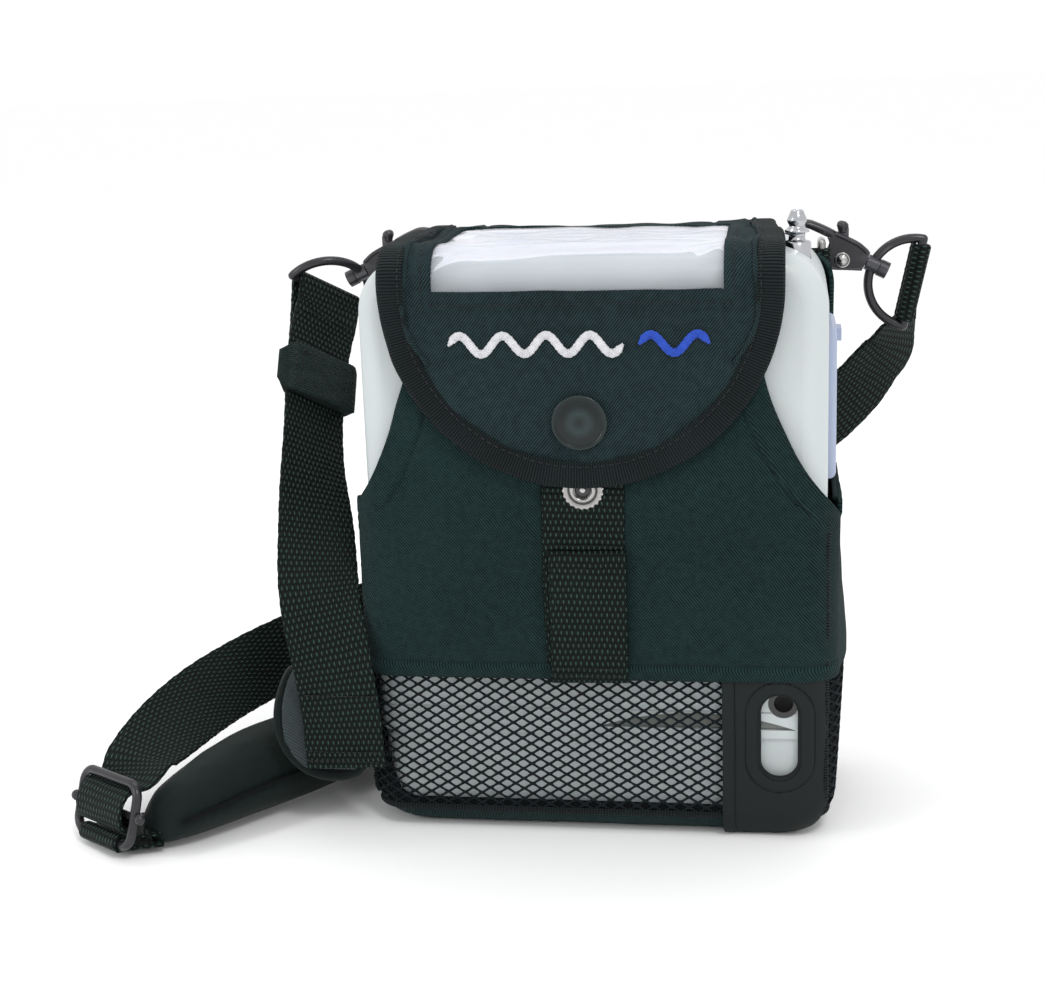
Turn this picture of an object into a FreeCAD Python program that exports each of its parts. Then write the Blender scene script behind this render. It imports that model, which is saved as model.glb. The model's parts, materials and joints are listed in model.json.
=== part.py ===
import FreeCAD, Part
import math
import os

# Portable oxygen concentrator in its carry bag, with a shoulder strap. Millimetres.
# +X is the user's right in a front view, -Y is the front, +Z is up.
# The origin is on the floor, below the middle of the concentrator.

V = FreeCAD.Vector
X, Y, Z = V(1, 0, 0), V(0, 1, 0), V(0, 0, 1)

# --- concentrator housing ---
DEV_W, DEV_D = 150.0, 68.0            # width and depth of the housing
DEV_Z0, DEV_Z1 = 2.3, 193.0           # underside and top
CORNER_TOP, CORNER_BOTTOM = 18.0, 13.0  # corner radii in the front view
EDGE_R = 8.0                          # rounding of the front and rear edges
WALL = 2.2                            # moulded wall
SPLIT_Z = 34.4                        # joint between housing and battery
LINE_Z = 43.4                         # groove above the latch strip
BATTERY_W, BATTERY_D, BATTERY_WALL = 147.0, 66.0, 2.2
CELL_R, CELL_LENGTH, CELL_Z = 9.1, 65.0, 18.3
CONTACTS = (-40.0, -20.0, 6.0)        # battery plug: x from, x to, half its depth
SCREWS = [(-60.0, 46.0), (60.0, 46.0), (-48.0, 172.0), (48.0, 172.0)]
SCREW_R, SCREW_HEAD_R = 1.6, 2.9
FRONT, REAR = -DEV_D / 2, DEV_D / 2
HALF = DEV_W / 2

# --- bag ---
FABRIC = 2.0                          # thickness of a bag wall
GAP = 0.3                             # air between the housing and the bag
BAG = FABRIC + GAP                    # bag wall's outside, out from the housing
BAG_FRONT, BAG_REAR = FRONT - BAG, REAR + BAG
SEAM_Z = 55.5                         # top of the mesh band
BASE_Z = 7.0                          # top of the bottom tray
SIDE_Z = 113.0                        # top of the side panels
OUT_X, LEFT_OUT_Z, RIGHT_OUT_Z = 80.0, 111.0, 107.3   # where the shoulder lines leave the bag, beyond its sides
LEFT_NECK, RIGHT_NECK = (57.0, 152.0), (56.0, 149.0)  # where they go under the flap
NECK_UP, NECK_IN = 18.0, 4.0          # how far the panel goes on under the flap
PATCH_X0, PATCH_X1 = 41.6, 74.8       # power port patch
OVAL_X, OVAL_Z, OVAL_R, OVAL_H = 60.0, 36.1, 6.25, 14.4
STRIP_X, STRIP_W, WEB_T = -2.2, 26.8, 1.5   # front webbing strip
STUD_Z = (119.1, 141.8)               # snap studs, lower and upper

# --- flap ---
FLAP_T, FLAP_X, FLAP_R = 1.6, -2.0, 63.0
FLAP_LOW = 120.7                      # lowest point of the round front
FLAP_TOP = 194.6                      # underside over the housing
FLAP_FRONT = -38.9                    # inside face down the front
FLAP_BACK = 35.0                      # rear edge, next to the hinge line
FLAP_TOP_HALF = 59.5
WINDOW = (-48.0, 43.0, 183.0, 26.0)   # x from, x to, lowest z, furthest y
CAP_R = 8.6

# --- controls and ports ---
BUTTON_X = {"power_button": -30.0, "minus_button": -10.0, "plus_button": 10.0, "alarm_button": 30.0}
BUTTON_Y, BUTTON_R, BUTTON_GAP, BUTTON_UP = 10.0, 5.5, 0.3, 0.6
NOZZLE_XY, NOZZLE_R, NOZZLE_BODY = (65.0, -8.0), 3.0, 4.6
JACK_X, JACK_Z, JACK_R, JACK_BODY, JACK_DEPTH = 61.3, 46.6, 3.1, 5.0, 8.0
FIT = 0.04                            # play round a piece that sits in a hole of the housing
LATCH_X0, LATCH_X1, LATCH_Z0, LATCH_Z1 = 2.0, 64.0, 37.6, 42.4
LENS = (26.0, -24.0, -4.0)            # display window: half width, y from, y to
BOARD_Z, BOARD_TOP = 184.0, 185.6     # display board
FILTER = (14.0, 122.0, 160.0)         # intake opening: half depth, z from, z to
NOZZLE_LAND = 9.2                     # straight part of the spigot

# --- motor, fan ---
CRANK_X, CRANK_Z = -24.0, 88.0
SHAFT_R, SHAFT_GAP = 3.0, 0.06
STATOR_TEETH = 9
FAN_X, FAN_Z, FAN_SIZE, FAN_R = -70.0, 150.0, 50.0, 22.5

# --- strap hardware ---
WEB_W = 27.0                          # shoulder webbing
HOOK_Y = 46.5                         # plane of the snap hooks
HOOK_BASE = (88.9, 180.7)             # foot of the right hook, x and z
HOOK_DIR = (-0.902, 0.431)            # from the foot towards the nose
HOOK_T, SLOT_T, GATE_T = 5.0, 2.6, 2.0
PIVOT = (7.7, -2.8)                   # gate rivet, along and across the hook
PIN_R, RIVET_R = 1.5, 1.5             # swivel pin, gate rivet
D_X, D_Z, D_R, D_WIRE = 73.56, 179.6, 8.3, 1.4  # bag D-rings
D_BAR_Y, D_LEG_Y = 39.4, 48.5
BAND_Z, BAND_H = 179.6, 13.0          # webbing band on the back of the bag
RING_R, RING_WIRE = 15.4, 1.6         # rings at the strap's ends
RING_BAR = {1: (0.208, 0.0, 0.978), -1: (0.61, 0.64, -0.46)}   # direction of each ring's straight bar


def box(x0, x1, y0, y1, z0, z1):
    return Part.makeBox(x1 - x0, y1 - y0, z1 - z0, V(x0, y0, z0))


def layer(z0, z1):
    """Slice of space between two heights, wider than the whole object."""
    return box(-100, 100, -70, 70, z0, z1)


def cyl(radius, start, end):
    start, end = V(*start), V(*end)
    return Part.makeCylinder(radius, (end - start).Length, start, end - start)


def fuse(shapes):
    shapes = list(shapes)
    return shapes[0].multiFuse(shapes[1:]).removeSplitter()


def save(name, shape):
    solids = shape.Solids
    out = solids[0] if len(solids) == 1 else Part.makeCompound(solids)
    out.exportStep("parts/" + name + ".step")


def face(points):
    """Flat face inside a closed polygon of 3-D points."""
    return Part.Face(Part.makePolygon([V(*p) for p in points] + [V(*points[0])]))


def round_edges(shape, radius, picks):
    return shape.makeFillet(radius, [e for e in shape.Edges if picks(e)])


def along(axis):
    """Edge filter: straight edges that run along one axis."""
    def test(edge):
        if not isinstance(edge.Curve, (Part.Line, Part.LineSegment)):
            return False
        return abs(edge.tangentAt(edge.FirstParameter).dot(axis)) > 0.99
    return test


def body(out, width=DEV_W, depth=DEV_D, z1=DEV_Z1):
    """Rounded upright block: the housing's outside, moved outwards by out."""
    hw, hd, z0, z1 = width / 2 + out, depth / 2 + out, DEV_Z0 - out, z1 + out
    block = box(-hw, hw, -hd, hd, z0, z1)
    mid = (z0 + z1) / 2
    for high, radius in ((True, CORNER_TOP), (False, CORNER_BOTTOM)):
        block = round_edges(block, radius + out, lambda e: along(Y)(e)
                            and (e.CenterOfMass.z > mid) == high)
    return round_edges(block, EDGE_R + out, lambda e: abs(abs(e.CenterOfMass.y) - hd) < 0.01)


# ---------------------------------------------------------------- housing
def leaf(grow, y0, y1):
    """Half-leaf outline of the battery latch, extruded from y0 to y1."""
    x0, x1 = LATCH_X0 - 5 * grow, LATCH_X1 + 5 * grow   # the sharp ends need more room
    z0, z1 = LATCH_Z0 - grow, LATCH_Z1 + grow
    a, b, top = V(x0, y0, z0), V(x1, y0, z0), V((x0 + x1) / 2, y0, z1)
    wire = Part.Wire([Part.LineSegment(a, b).toShape(), Part.Arc(b, top, a).toShape()])
    return Part.Face(wire).extrude(V(0, y1 - y0, 0))


def shell_cuts():
    """Everything that is cut out of the housing's walls."""
    inside_top, above = DEV_Z1 - 8, DEV_Z1 + 7
    groove = body(1).cut(body(-0.5)).common(layer(LINE_Z - 0.3, LINE_Z + 0.3))
    cuts = [groove, leaf(0.35, FRONT - 2, FRONT + 3)]
    cuts.append(cyl(JACK_BODY, (JACK_X, FRONT - 1, JACK_Z), (JACK_X, FRONT + 4, JACK_Z)))
    cuts.append(cyl(NOZZLE_BODY, (*NOZZLE_XY, inside_top), (*NOZZLE_XY, above)))
    for x in BUTTON_X.values():
        cuts.append(cyl(BUTTON_R + BUTTON_GAP, (x, BUTTON_Y, inside_top), (x, BUTTON_Y, above)))
    lens_x, lens_y0, lens_y1 = LENS
    cuts.append(box(-lens_x, lens_x, lens_y0, lens_y1, inside_top, above))
    filter_y, filter_z0, filter_z1 = FILTER
    cuts.append(box(HALF - 4, HALF + 1, -filter_y, filter_y, filter_z0, filter_z1))
    cuts += [box(-HALF - 1, -HALF + 4, -20, 20, z, z + 2.2) for z in range(130, 172, 5)]
    contact_x0, contact_x1, contact_y = CONTACTS
    cuts.append(box(contact_x0, contact_x1, -contact_y, contact_y, SPLIT_Z - 1, SPLIT_Z + 4))
    for x, z in SCREWS:
        cuts.append(cyl(SCREW_R + 0.1, (x, 0, z), (x, REAR + 1, z)))
        cuts.append(cyl(SCREW_HEAD_R + 0.1, (x, REAR - 1.4, z), (x, REAR + 1, z)))
    return cuts


def make_shells():
    floor = body(0).common(layer(SPLIT_Z, SPLIT_Z + WALL))
    shell = body(0).cut(body(-WALL)).fuse(floor)
    shell = shell.common(layer(SPLIT_Z, DEV_Z1 + 1)).cut(Part.makeCompound(shell_cuts()))
    save("front_shell", shell.common(box(-90, 90, -50, 0, 0, 200)))
    posts = []
    for x, z in SCREWS:
        post = cyl(3.6, (x, 20, z), (x, REAR - WALL, z))
        posts.append(post.cut(cyl(SCREW_R + 0.1, (x, 19, z), (x, REAR, z))))
    rear = shell.common(box(-90, 90, 0, 50, 0, 200))
    save("rear_shell", rear.fuse(posts).removeSplitter())


def make_screws():
    screws = []
    for x, z in SCREWS:
        shank = cyl(SCREW_R, (x, 21, z), (x, REAR - 1.3, z))
        screws.append(shank.fuse(cyl(SCREW_HEAD_R, (x, REAR - 1.3, z), (x, REAR - 0.1, z))))
    save("case_screws", Part.makeCompound(screws))


def make_battery():
    outside = body(0, BATTERY_W, BATTERY_D)
    case = outside.cut(body(-BATTERY_WALL, BATTERY_W, BATTERY_D)).common(layer(0, SPLIT_Z))
    lid = outside.common(layer(SPLIT_Z - BATTERY_WALL, SPLIT_Z))
    save("battery_case", case.fuse(lid).removeSplitter())
    cells = []
    for x in (-66.5, 1.5):
        for y in (-19, 0, 19):
            cells.append(cyl(CELL_R, (x, y, CELL_Z), (x + CELL_LENGTH, y, CELL_Z)))
    save("battery_cells", Part.makeCompound(cells))
    x0, x1, y1 = CONTACTS
    block = box(x0, x1, -y1, y1, SPLIT_Z, SPLIT_Z + 5.6)
    blades = [box(x, x + 1.2, -4, 4, SPLIT_Z + 5.6, SPLIT_Z + 10.6) for x in range(-38, -22, 4)]
    save("battery_contacts", fuse([block] + blades))


def make_latch():
    """Press button in the front wall, held in by a flange behind the wall."""
    button = leaf(0, FRONT + 0.9, FRONT + WALL + 1)
    flange = leaf(0.9, FRONT + WALL + 0.4, FRONT + WALL + 2)
    save("battery_latch", button.fuse(flange).common(layer(SPLIT_Z + WALL + 0.3, LINE_Z + 10)))


def make_display():
    lens_x, lens_y0, lens_y1 = LENS
    save("display_lens", box(-lens_x, lens_x, lens_y0, lens_y1, DEV_Z1 - 1.8, DEV_Z1 - 0.05))
    pieces = [box(-42, 42, -26, 20, BOARD_Z, BOARD_TOP)]
    for x in BUTTON_X.values():
        pieces.append(cyl(3, (x, BUTTON_Y, BOARD_TOP), (x, BUTTON_Y, BOARD_TOP + 2)))
    buzzer = cyl(6, (36, -16, BOARD_Z - 6), (36, -16, BOARD_Z))
    pieces.append(buzzer.cut(cyl(1.2, (36, -16, BOARD_Z - 7), (36, -16, BOARD_Z - 4))))
    save("display_board", fuse(pieces))
    panel = box(-28, 28, lens_y0 - 1.5, lens_y1 + 1, BOARD_TOP, BOARD_TOP + 4.9)
    view = box(-24, 24, lens_y0 + 1.5, lens_y1 - 2, BOARD_TOP + 4.4, BOARD_TOP + 6)
    save("lcd_module", panel.cut(view))


def make_buttons():
    foot = DEV_Z1 - 4
    for name, x in BUTTON_X.items():
        cap = cyl(BUTTON_R, (x, BUTTON_Y, foot), (x, BUTTON_Y, DEV_Z1 + BUTTON_UP))
        cap = round_edges(cap, 0.5, lambda e: e.CenterOfMass.z > DEV_Z1)
        skirt = cyl(BUTTON_R + 1.3, (x, BUTTON_Y, foot), (x, BUTTON_Y, foot + 1.3))
        save(name, cap.fuse(skirt).removeSplitter())


def make_nozzle():
    """Cannula spigot with a short barb at its tip."""
    x, y = NOZZLE_XY
    barb_z = DEV_Z1 + NOZZLE_LAND
    body_part = cyl(NOZZLE_BODY - FIT, (x, y, DEV_Z1 - 7), (x, y, DEV_Z1))
    land = cyl(NOZZLE_R, (x, y, DEV_Z1), (x, y, barb_z))
    barb = Part.makeCone(NOZZLE_R, 2.3, 1.4, V(x, y, barb_z))
    bore = cyl(1.2, (x, y, DEV_Z1 - 8), (x, y, barb_z + 3))
    save("cannula_nozzle", fuse([body_part, land, barb]).cut(bore))


def make_jack():
    mouth = FRONT + 0.2
    jack = cyl(JACK_BODY - FIT, (JACK_X, mouth, JACK_Z), (JACK_X, FRONT + 15, JACK_Z))
    bore = cyl(JACK_R, (JACK_X, mouth - 1, JACK_Z), (JACK_X, mouth + JACK_DEPTH, JACK_Z))
    pins = [cyl(0.6, (JACK_X + dx, FRONT + 15, JACK_Z), (JACK_X + dx, FRONT + 19, JACK_Z)) for dx in (-2.4, 2.4)]
    save("dc_jack", fuse([jack.cut(bore)] + pins))


def make_intake():
    outer = HALF + 2.8
    grille = box(HALF + 0.1, outer, -17, 17, 118, 167)
    grille = round_edges(grille, 2.0, lambda e: abs(e.CenterOfMass.x - outer) < 0.01)
    slots = [box(HALF - 1, HALF + 4, -12, 12, z, z + 2.0) for z in range(124, 158, 5)]
    clip = box(HALF + 1.5, HALF + 4.4, -5, 5, 161, 165)
    save("intake_grille", grille.cut(Part.makeCompound(slots)).fuse(clip).removeSplitter())
    filter_y, filter_z0, filter_z1 = FILTER
    gap = 0.3
    save("intake_filter", box(HALF - WALL, HALF - 0.1, gap - filter_y, filter_y - gap,
                              filter_z0 + gap, filter_z1 - gap))


def make_compressor():
    """Crankcase with a cylinder on each side, heads with cooling fins, tray and mounts."""
    cx, cz = CRANK_X, CRANK_Z
    case = round_edges(box(cx - 20, cx + 20, -24, 6, cz - 22, cz + 22), 4, along(Y))
    case = case.fuse([cyl(12, (cx + s * 19, -9, cz), (cx + s * 37, -9, cz)) for s in (-1, 1)])
    case = case.cut(cyl(SHAFT_R + SHAFT_GAP, (cx, -20, cz), (cx, 8, cz)))
    save("compressor_housing", case.removeSplitter())
    heads = []
    for s in (-1, 1):
        near, outer, fin_root = cx + s * 37, cx + s * 43, cx + s * 40
        head = box(*sorted((near, outer)), -23, 5, cz - 14, cz + 14)
        fins = [box(*sorted((fin_root, outer + s)), -24, 6, cz + k, cz + k + 1.4) for k in (-10, -5, 4, 9)]
        heads.append(head.cut(Part.makeCompound(fins)))
    save("cylinder_heads", Part.makeCompound(heads))
    tray_x0, tray_x1, tray_z = -66, 24, 55
    tray = box(tray_x0, tray_x1, -26, 26, tray_z, tray_z + 3)
    legs = [box(x, x + 5, y, y + 5, SPLIT_Z + WALL, tray_z) for x in (-54, 9) for y in (-26, 21)]
    save("compressor_tray", fuse([tray] + legs))
    save("rubber_mounts", Part.makeCompound([
        cyl(4, (cx + sx * 14, y, tray_z + 3), (cx + sx * 14, y, cz - 22)) for sx in (-1, 1) for y in (-18, 0)]))


def make_motor():
    """Outer-rotor motor: wound stator inside a turning cup with a balance weight."""
    cx, cz = CRANK_X, CRANK_Z
    ring = cyl(15.6, (cx, 6, cz), (cx, 17, cz)).cut(cyl(4.4, (cx, 5, cz), (cx, 18, cz)))
    slots = []
    for k in range(STATOR_TEETH):
        slot = box(cx - 0.9, cx + 0.9, 5, 18, cz + 7, cz + 16)
        slot.rotate(V(cx, 0, cz), Y, 360.0 / STATOR_TEETH * k)
        slots.append(slot)
    save("motor_stator", ring.cut(Part.makeCompound(slots)))
    cup = cyl(19, (cx, 8, cz), (cx, 21, cz)).cut(cyl(16.3, (cx, 7, cz), (cx, 18, cz)))
    shaft = cyl(SHAFT_R, (cx, -18, cz), (cx, 19, cz))
    balance = box(cx - 5, cx + 5, 21, 24, cz + 8, cz + 17)
    save("motor_rotor", fuse([cup, shaft, balance]))


def make_fan():
    x0, z = FAN_X, FAN_Z
    h = FAN_SIZE / 2
    frame = round_edges(box(x0, x0 + 12, -h, h, z - h, z + h), 4, along(X))
    frame = frame.cut(cyl(FAN_R + 0.8, (x0 - 1, 0, z), (x0 + 13, 0, z)))
    spider = [cyl(8, (x0 + 10.4, 0, z), (x0 + 12, 0, z)), cyl(1.5, (x0 + 2, 0, z), (x0 + 11, 0, z))]
    for angle in (45, 135):
        arm = box(x0 + 10.4, x0 + 12, -1.5, 1.5, z - h - 1, z + h + 1)
        arm.rotate(V(x0, 0, z), X, angle)
        spider.append(arm.common(box(x0, x0 + 12, -h, h, z - h, z + h)))
    save("fan_frame", fuse([frame] + spider))
    blade = face([(x0 + 1.5, 7, z - 1), (x0 + 8.5, 7, z + 3), (x0 + 8.5, 7, z + 4.6), (x0 + 1.5, 7, z + 0.6)])
    blade = blade.extrude(V(0, FAN_R - 7, 0)).common(cyl(FAN_R, (x0, 0, z), (x0 + 10, 0, z)))
    pieces = [cyl(9, (x0 + 1, 0, z), (x0 + 9.4, 0, z))]
    for k in range(7):
        turned = blade.copy()
        turned.rotate(V(x0, 0, z), X, 360.0 / 7 * k)
        pieces.append(turned)
    save("fan_impeller", fuse(pieces).cut(cyl(1.56, (x0, 0, z), (x0 + 11, 0, z))))


def pipe(points, radius, bend):
    """Round tube along straight runs that are joined by arcs of radius bend."""
    points = [V(*p) for p in points]
    edges, last = [], points[0]
    for a, b, c in zip(points, points[1:], points[2:]):
        u, w = (a - b).normalize(), (c - b).normalize()
        half = u.getAngle(w) / 2
        reach = bend / math.tan(half)
        start, end = b + u * reach, b + w * reach
        mid = b + (u + w).normalize() * (bend / math.sin(half) - bend)
        edges += [Part.LineSegment(last, start).toShape(), Part.Arc(start, mid, end).toShape()]
        last = end
    edges.append(Part.LineSegment(last, points[-1]).toShape())
    ring = Part.Wire(Part.Circle(points[0], points[1] - points[0], radius).toShape())
    return Part.Wire(edges).makePipeShell([ring], True, False)


def make_gas_path():
    save("sieve_columns", Part.makeCompound([
        round_edges(cyl(13, (52, y, 60), (52, y, 150)), 2, lambda e: e.Length > 60) for y in (-14, 14)]))
    ends = [round_edges(box(38, 66, -28, 28, z, z + 6.8), 6, along(Z)) for z in (53.1, 150.1)]
    save("column_manifolds", Part.makeCompound(ends))
    save("valve_block", round_edges(box(4, 34, -26, -4, 122, 144), 2, along(Z)))
    save("solenoid_valves", Part.makeCompound([
        cyl(4.4, (x, y, 144), (x, y, 157)) for x in (10, 21) for y in (-20.5, -9.5)]))
    tank = cyl(12.5, (-52, 13, 140), (0, 13, 140))
    save("product_tank", round_edges(tank, 4, lambda e: e.Length > 60))
    nx, ny = NOZZLE_XY
    tubes = [pipe([(nx, ny, 186), (nx, ny, 171), (-25, 13, 171), (-25, 13, 152.5)], 2.2, 7)]
    tubes.append(pipe([(30, -15, 144), (30, -15, 164), (46, -15, 164), (46, -15, 157)], 1.8, 5))
    tubes.append(cyl(1.8, (16, -9, 102), (16, -9, 122)))
    save("air_tubes", Part.makeCompound(tubes))
    board = box(-66, 34, -30, -28.4, 62, 180)
    chips = [box(x, x + 12, -28.4, -26.6, z, z + 10) for x, z in ((-50, 160), (-20, 165), (-56, 120), (-30, 130))]
    save("main_board", fuse([board] + chips))


# ---------------------------------------------------------------- bag
def make_bag():
    skin = body(BAG).cut(body(GAP))
    front_zone = box(-90, 90, -60, -26, SEAM_Z, 200)
    (left_x, left_z), (right_x, right_z) = LEFT_NECK, RIGHT_NECK
    outline = face([(x, -60, z) for x, z in (
        (-OUT_X, SEAM_Z), (OUT_X, SEAM_Z), (OUT_X, RIGHT_OUT_Z), (right_x, right_z),
        (right_x - NECK_IN, right_z + NECK_UP), (NECK_IN - left_x, left_z + NECK_UP),
        (-left_x, left_z), (-OUT_X, LEFT_OUT_Z))])
    save("bag_front_panel", skin.common(outline.extrude(V(0, 34, 0))).common(front_zone))
    root = skin.common(box(FLAP_X - FLAP_TOP_HALF, FLAP_X + FLAP_TOP_HALF, 33.5, 60, 186, 200))
    save("bag_back_panel", skin.common(box(-90, 90, 24, 60, BASE_Z, 187)).fuse(root).removeSplitter())
    for name, x0, x1 in (("bag_left_side", -90, 0), ("bag_right_side", 0, 90)):
        save(name, skin.common(box(x0, x1, -26, 24, SEAM_Z, SIDE_Z)))
    sides = [skin.common(box(x0, x1, -26, 24, BASE_Z, SEAM_Z)) for x0, x1 in ((-90, 0), (0, 90))]
    save("bag_side_meshes", Part.makeCompound(sides))
    save("bag_front_mesh", skin.common(box(-90, PATCH_X0, -60, -26, BASE_Z, SEAM_Z)))
    save("bag_bottom", skin.common(box(-90, 90, -60, 60, 0, BASE_Z)))
    straight = OVAL_H - OVAL_R
    oval = [cyl(OVAL_R, (OVAL_X, -60, OVAL_Z + s * straight), (OVAL_X, -20, OVAL_Z + s * straight))
            for s in (-1, 1)]
    oval.append(box(OVAL_X - OVAL_R, OVAL_X + OVAL_R, -60, -20, OVAL_Z - straight, OVAL_Z + straight))
    patch = skin.common(box(PATCH_X0, 90, -60, -26, BASE_Z, SEAM_Z)).cut(fuse(oval))
    save("port_patch", patch)
    x0, x1 = STRIP_X - STRIP_W / 2, STRIP_X + STRIP_W / 2
    strip = box(x0, x1, BAG_FRONT - WEB_T, BAG_FRONT, SEAM_Z, 152)
    studs = []
    for z in STUD_Z:
        stud = cyl(6.2, (STRIP_X, BAG_FRONT - WEB_T - 0.6, z), (STRIP_X, BAG_FRONT - WEB_T, z))
        stud = stud.fuse(cyl(1.6, (STRIP_X, BAG_FRONT - WEB_T, z), (STRIP_X, BAG_FRONT, z)))
        studs.append(stud)
        strip = strip.cut(cyl(1.6, (STRIP_X, BAG_FRONT - 3, z), (STRIP_X, BAG_FRONT, z)))
    save("front_webbing", strip)
    save("snap_studs", Part.makeCompound(studs))


def flap_line(offset):
    """Points of the flap's side outline, at one distance out from its inside face."""
    y, z = FLAP_FRONT - offset, FLAP_TOP + offset
    r = EDGE_R + (FRONT - FLAP_FRONT) / 2 + offset
    k = r * (1 - math.sqrt(0.5))
    return [V(-100, FLAP_BACK, z), V(-100, y + r, z), V(-100, y + k, z - k), V(-100, y, z - r),
            V(-100, y, FLAP_LOW - 2)]


def flap_sheet(inner, thickness):
    """Sheet over the top and down the front, as one bent extrusion with a round end."""
    a, b = flap_line(inner), flap_line(inner + thickness)
    edges = [Part.LineSegment(a[4], b[4]).toShape(), Part.LineSegment(b[0], a[0]).toShape()]
    for p in (a, b):
        edges += [Part.LineSegment(p[0], p[1]).toShape(), Part.Arc(p[1], p[2], p[3]).toShape(),
                  Part.LineSegment(p[3], p[4]).toShape()]
    sheet = Part.Face(Part.Wire(Part.__sortEdges__(edges))).extrude(V(200, 0, 0))
    centre_z = FLAP_LOW + FLAP_R
    disc = cyl(FLAP_R, (FLAP_X, -60, centre_z), (FLAP_X, 60, centre_z))
    upper = face([(FLAP_X - FLAP_R, -60, centre_z), (FLAP_X - FLAP_R, -20, centre_z),
                  (FLAP_X - FLAP_TOP_HALF, 40, centre_z), (FLAP_X + FLAP_TOP_HALF, 40, centre_z),
                  (FLAP_X + FLAP_TOP_HALF, -20, centre_z), (FLAP_X + FLAP_R, -38, centre_z),
                  (FLAP_X + FLAP_R, -60, centre_z)]).extrude(V(0, 0, 40))
    return sheet.common(disc.fuse(upper))


def make_flap():
    sheet = flap_sheet(0, FLAP_T)
    x0, x1, z0, y1 = WINDOW
    opening = box(x0, x1, -60, y1, z0, 210)
    cap_y, cap_z = FLAP_FRONT - FLAP_T, STUD_Z[1]
    hole = cyl(2.0, (STRIP_X, cap_y - 1, cap_z), (STRIP_X, FLAP_FRONT + 1, cap_z))
    save("bag_flap", sheet.cut(opening).cut(hole))
    pane = flap_sheet(0.5, 0.6).common(box(x0 + 0.05, x1 - 0.05, -60, y1 - 0.05, z0 + 0.05, 210))
    save("flap_window", pane)
    cap = cyl(CAP_R, (STRIP_X, cap_y - 2.2, cap_z), (STRIP_X, cap_y, cap_z))
    cap = round_edges(cap, 1.4, lambda e: abs(e.CenterOfMass.y - cap_y + 2.2) < 0.01 and e.Length > 20)
    save("snap_cap", cap.fuse(cyl(1.95, (STRIP_X, cap_y, cap_z), (STRIP_X, FLAP_FRONT, cap_z))))


def d_ring(side):
    """Nickel D-ring in an upright plane, its bar held by the band on the bag's back."""
    z0, z1 = D_Z - D_R, D_Z + D_R
    bar = [cyl(D_WIRE, (0, D_BAR_Y, z0), (0, D_BAR_Y, z1))]
    for z in (z0, z1):
        bar.append(cyl(D_WIRE, (0, D_BAR_Y, z), (0, D_LEG_Y, z)))
        bar.append(Part.makeSphere(D_WIRE, V(0, D_BAR_Y, z)))
    bow = Part.makeTorus(D_R, D_WIRE, V(0, D_LEG_Y, D_Z), X)
    bar.append(bow.common(box(-5, 5, D_LEG_Y, D_LEG_Y + 20, z0 - 5, z1 + 5)))
    ring = fuse(bar)
    ring.translate(V(side * D_X, 0, 0))
    return ring


def make_ring_band():
    z0, z1 = BAND_Z - BAND_H / 2, BAND_Z + BAND_H / 2
    band = box(-D_X, D_X, BAG_REAR, BAG_REAR + WEB_T, z0, z1)
    inner_r = D_WIRE + 0.12
    outer_r = D_BAR_Y - BAG_REAR
    pieces = [band]
    for s in (-1, 1):
        loop = cyl(outer_r, (s * D_X, D_BAR_Y, z0), (s * D_X, D_BAR_Y, z1))
        flat = box(*sorted((s * 60, s * D_X)), D_BAR_Y - outer_r, D_BAR_Y + outer_r, z0, z1)
        inner_slot = box(*sorted((s * 66, s * D_X)), D_BAR_Y - inner_r, D_BAR_Y + inner_r, z0 - 1, z1 + 1)
        bore = cyl(inner_r, (s * D_X, D_BAR_Y, z0 - 1), (s * D_X, D_BAR_Y, z1 + 1))
        pieces.append(loop.fuse(flat).cut(bore).cut(inner_slot))
    band = fuse(pieces)
    for s in (-1, 1):
        band = band.cut(cyl(inner_r, (s * D_X, D_BAR_Y, z0 - 1), (s * D_X, D_BAR_Y, z1 + 1)))
    save("ring_band", band)


# ---------------------------------------------------------------- snap hooks
def hook_place(side):
    """Placement that puts the hook's own frame (along, up, out) on one side of the bag."""
    ux, uz = HOOK_DIR
    along_dir = V(side * ux, 0, uz)
    up = V(side * uz, 0, abs(ux))
    out = along_dir.cross(up)
    return FreeCAD.Matrix(along_dir.x, up.x, out.x, side * HOOK_BASE[0],
                          along_dir.y, up.y, out.y, HOOK_Y,
                          along_dir.z, up.z, out.z, HOOK_BASE[1], 0, 0, 0, 1)


def slab(points, thickness):
    return face([(u, v, -thickness / 2) for u, v in points]).extrude(V(0, 0, thickness))


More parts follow.
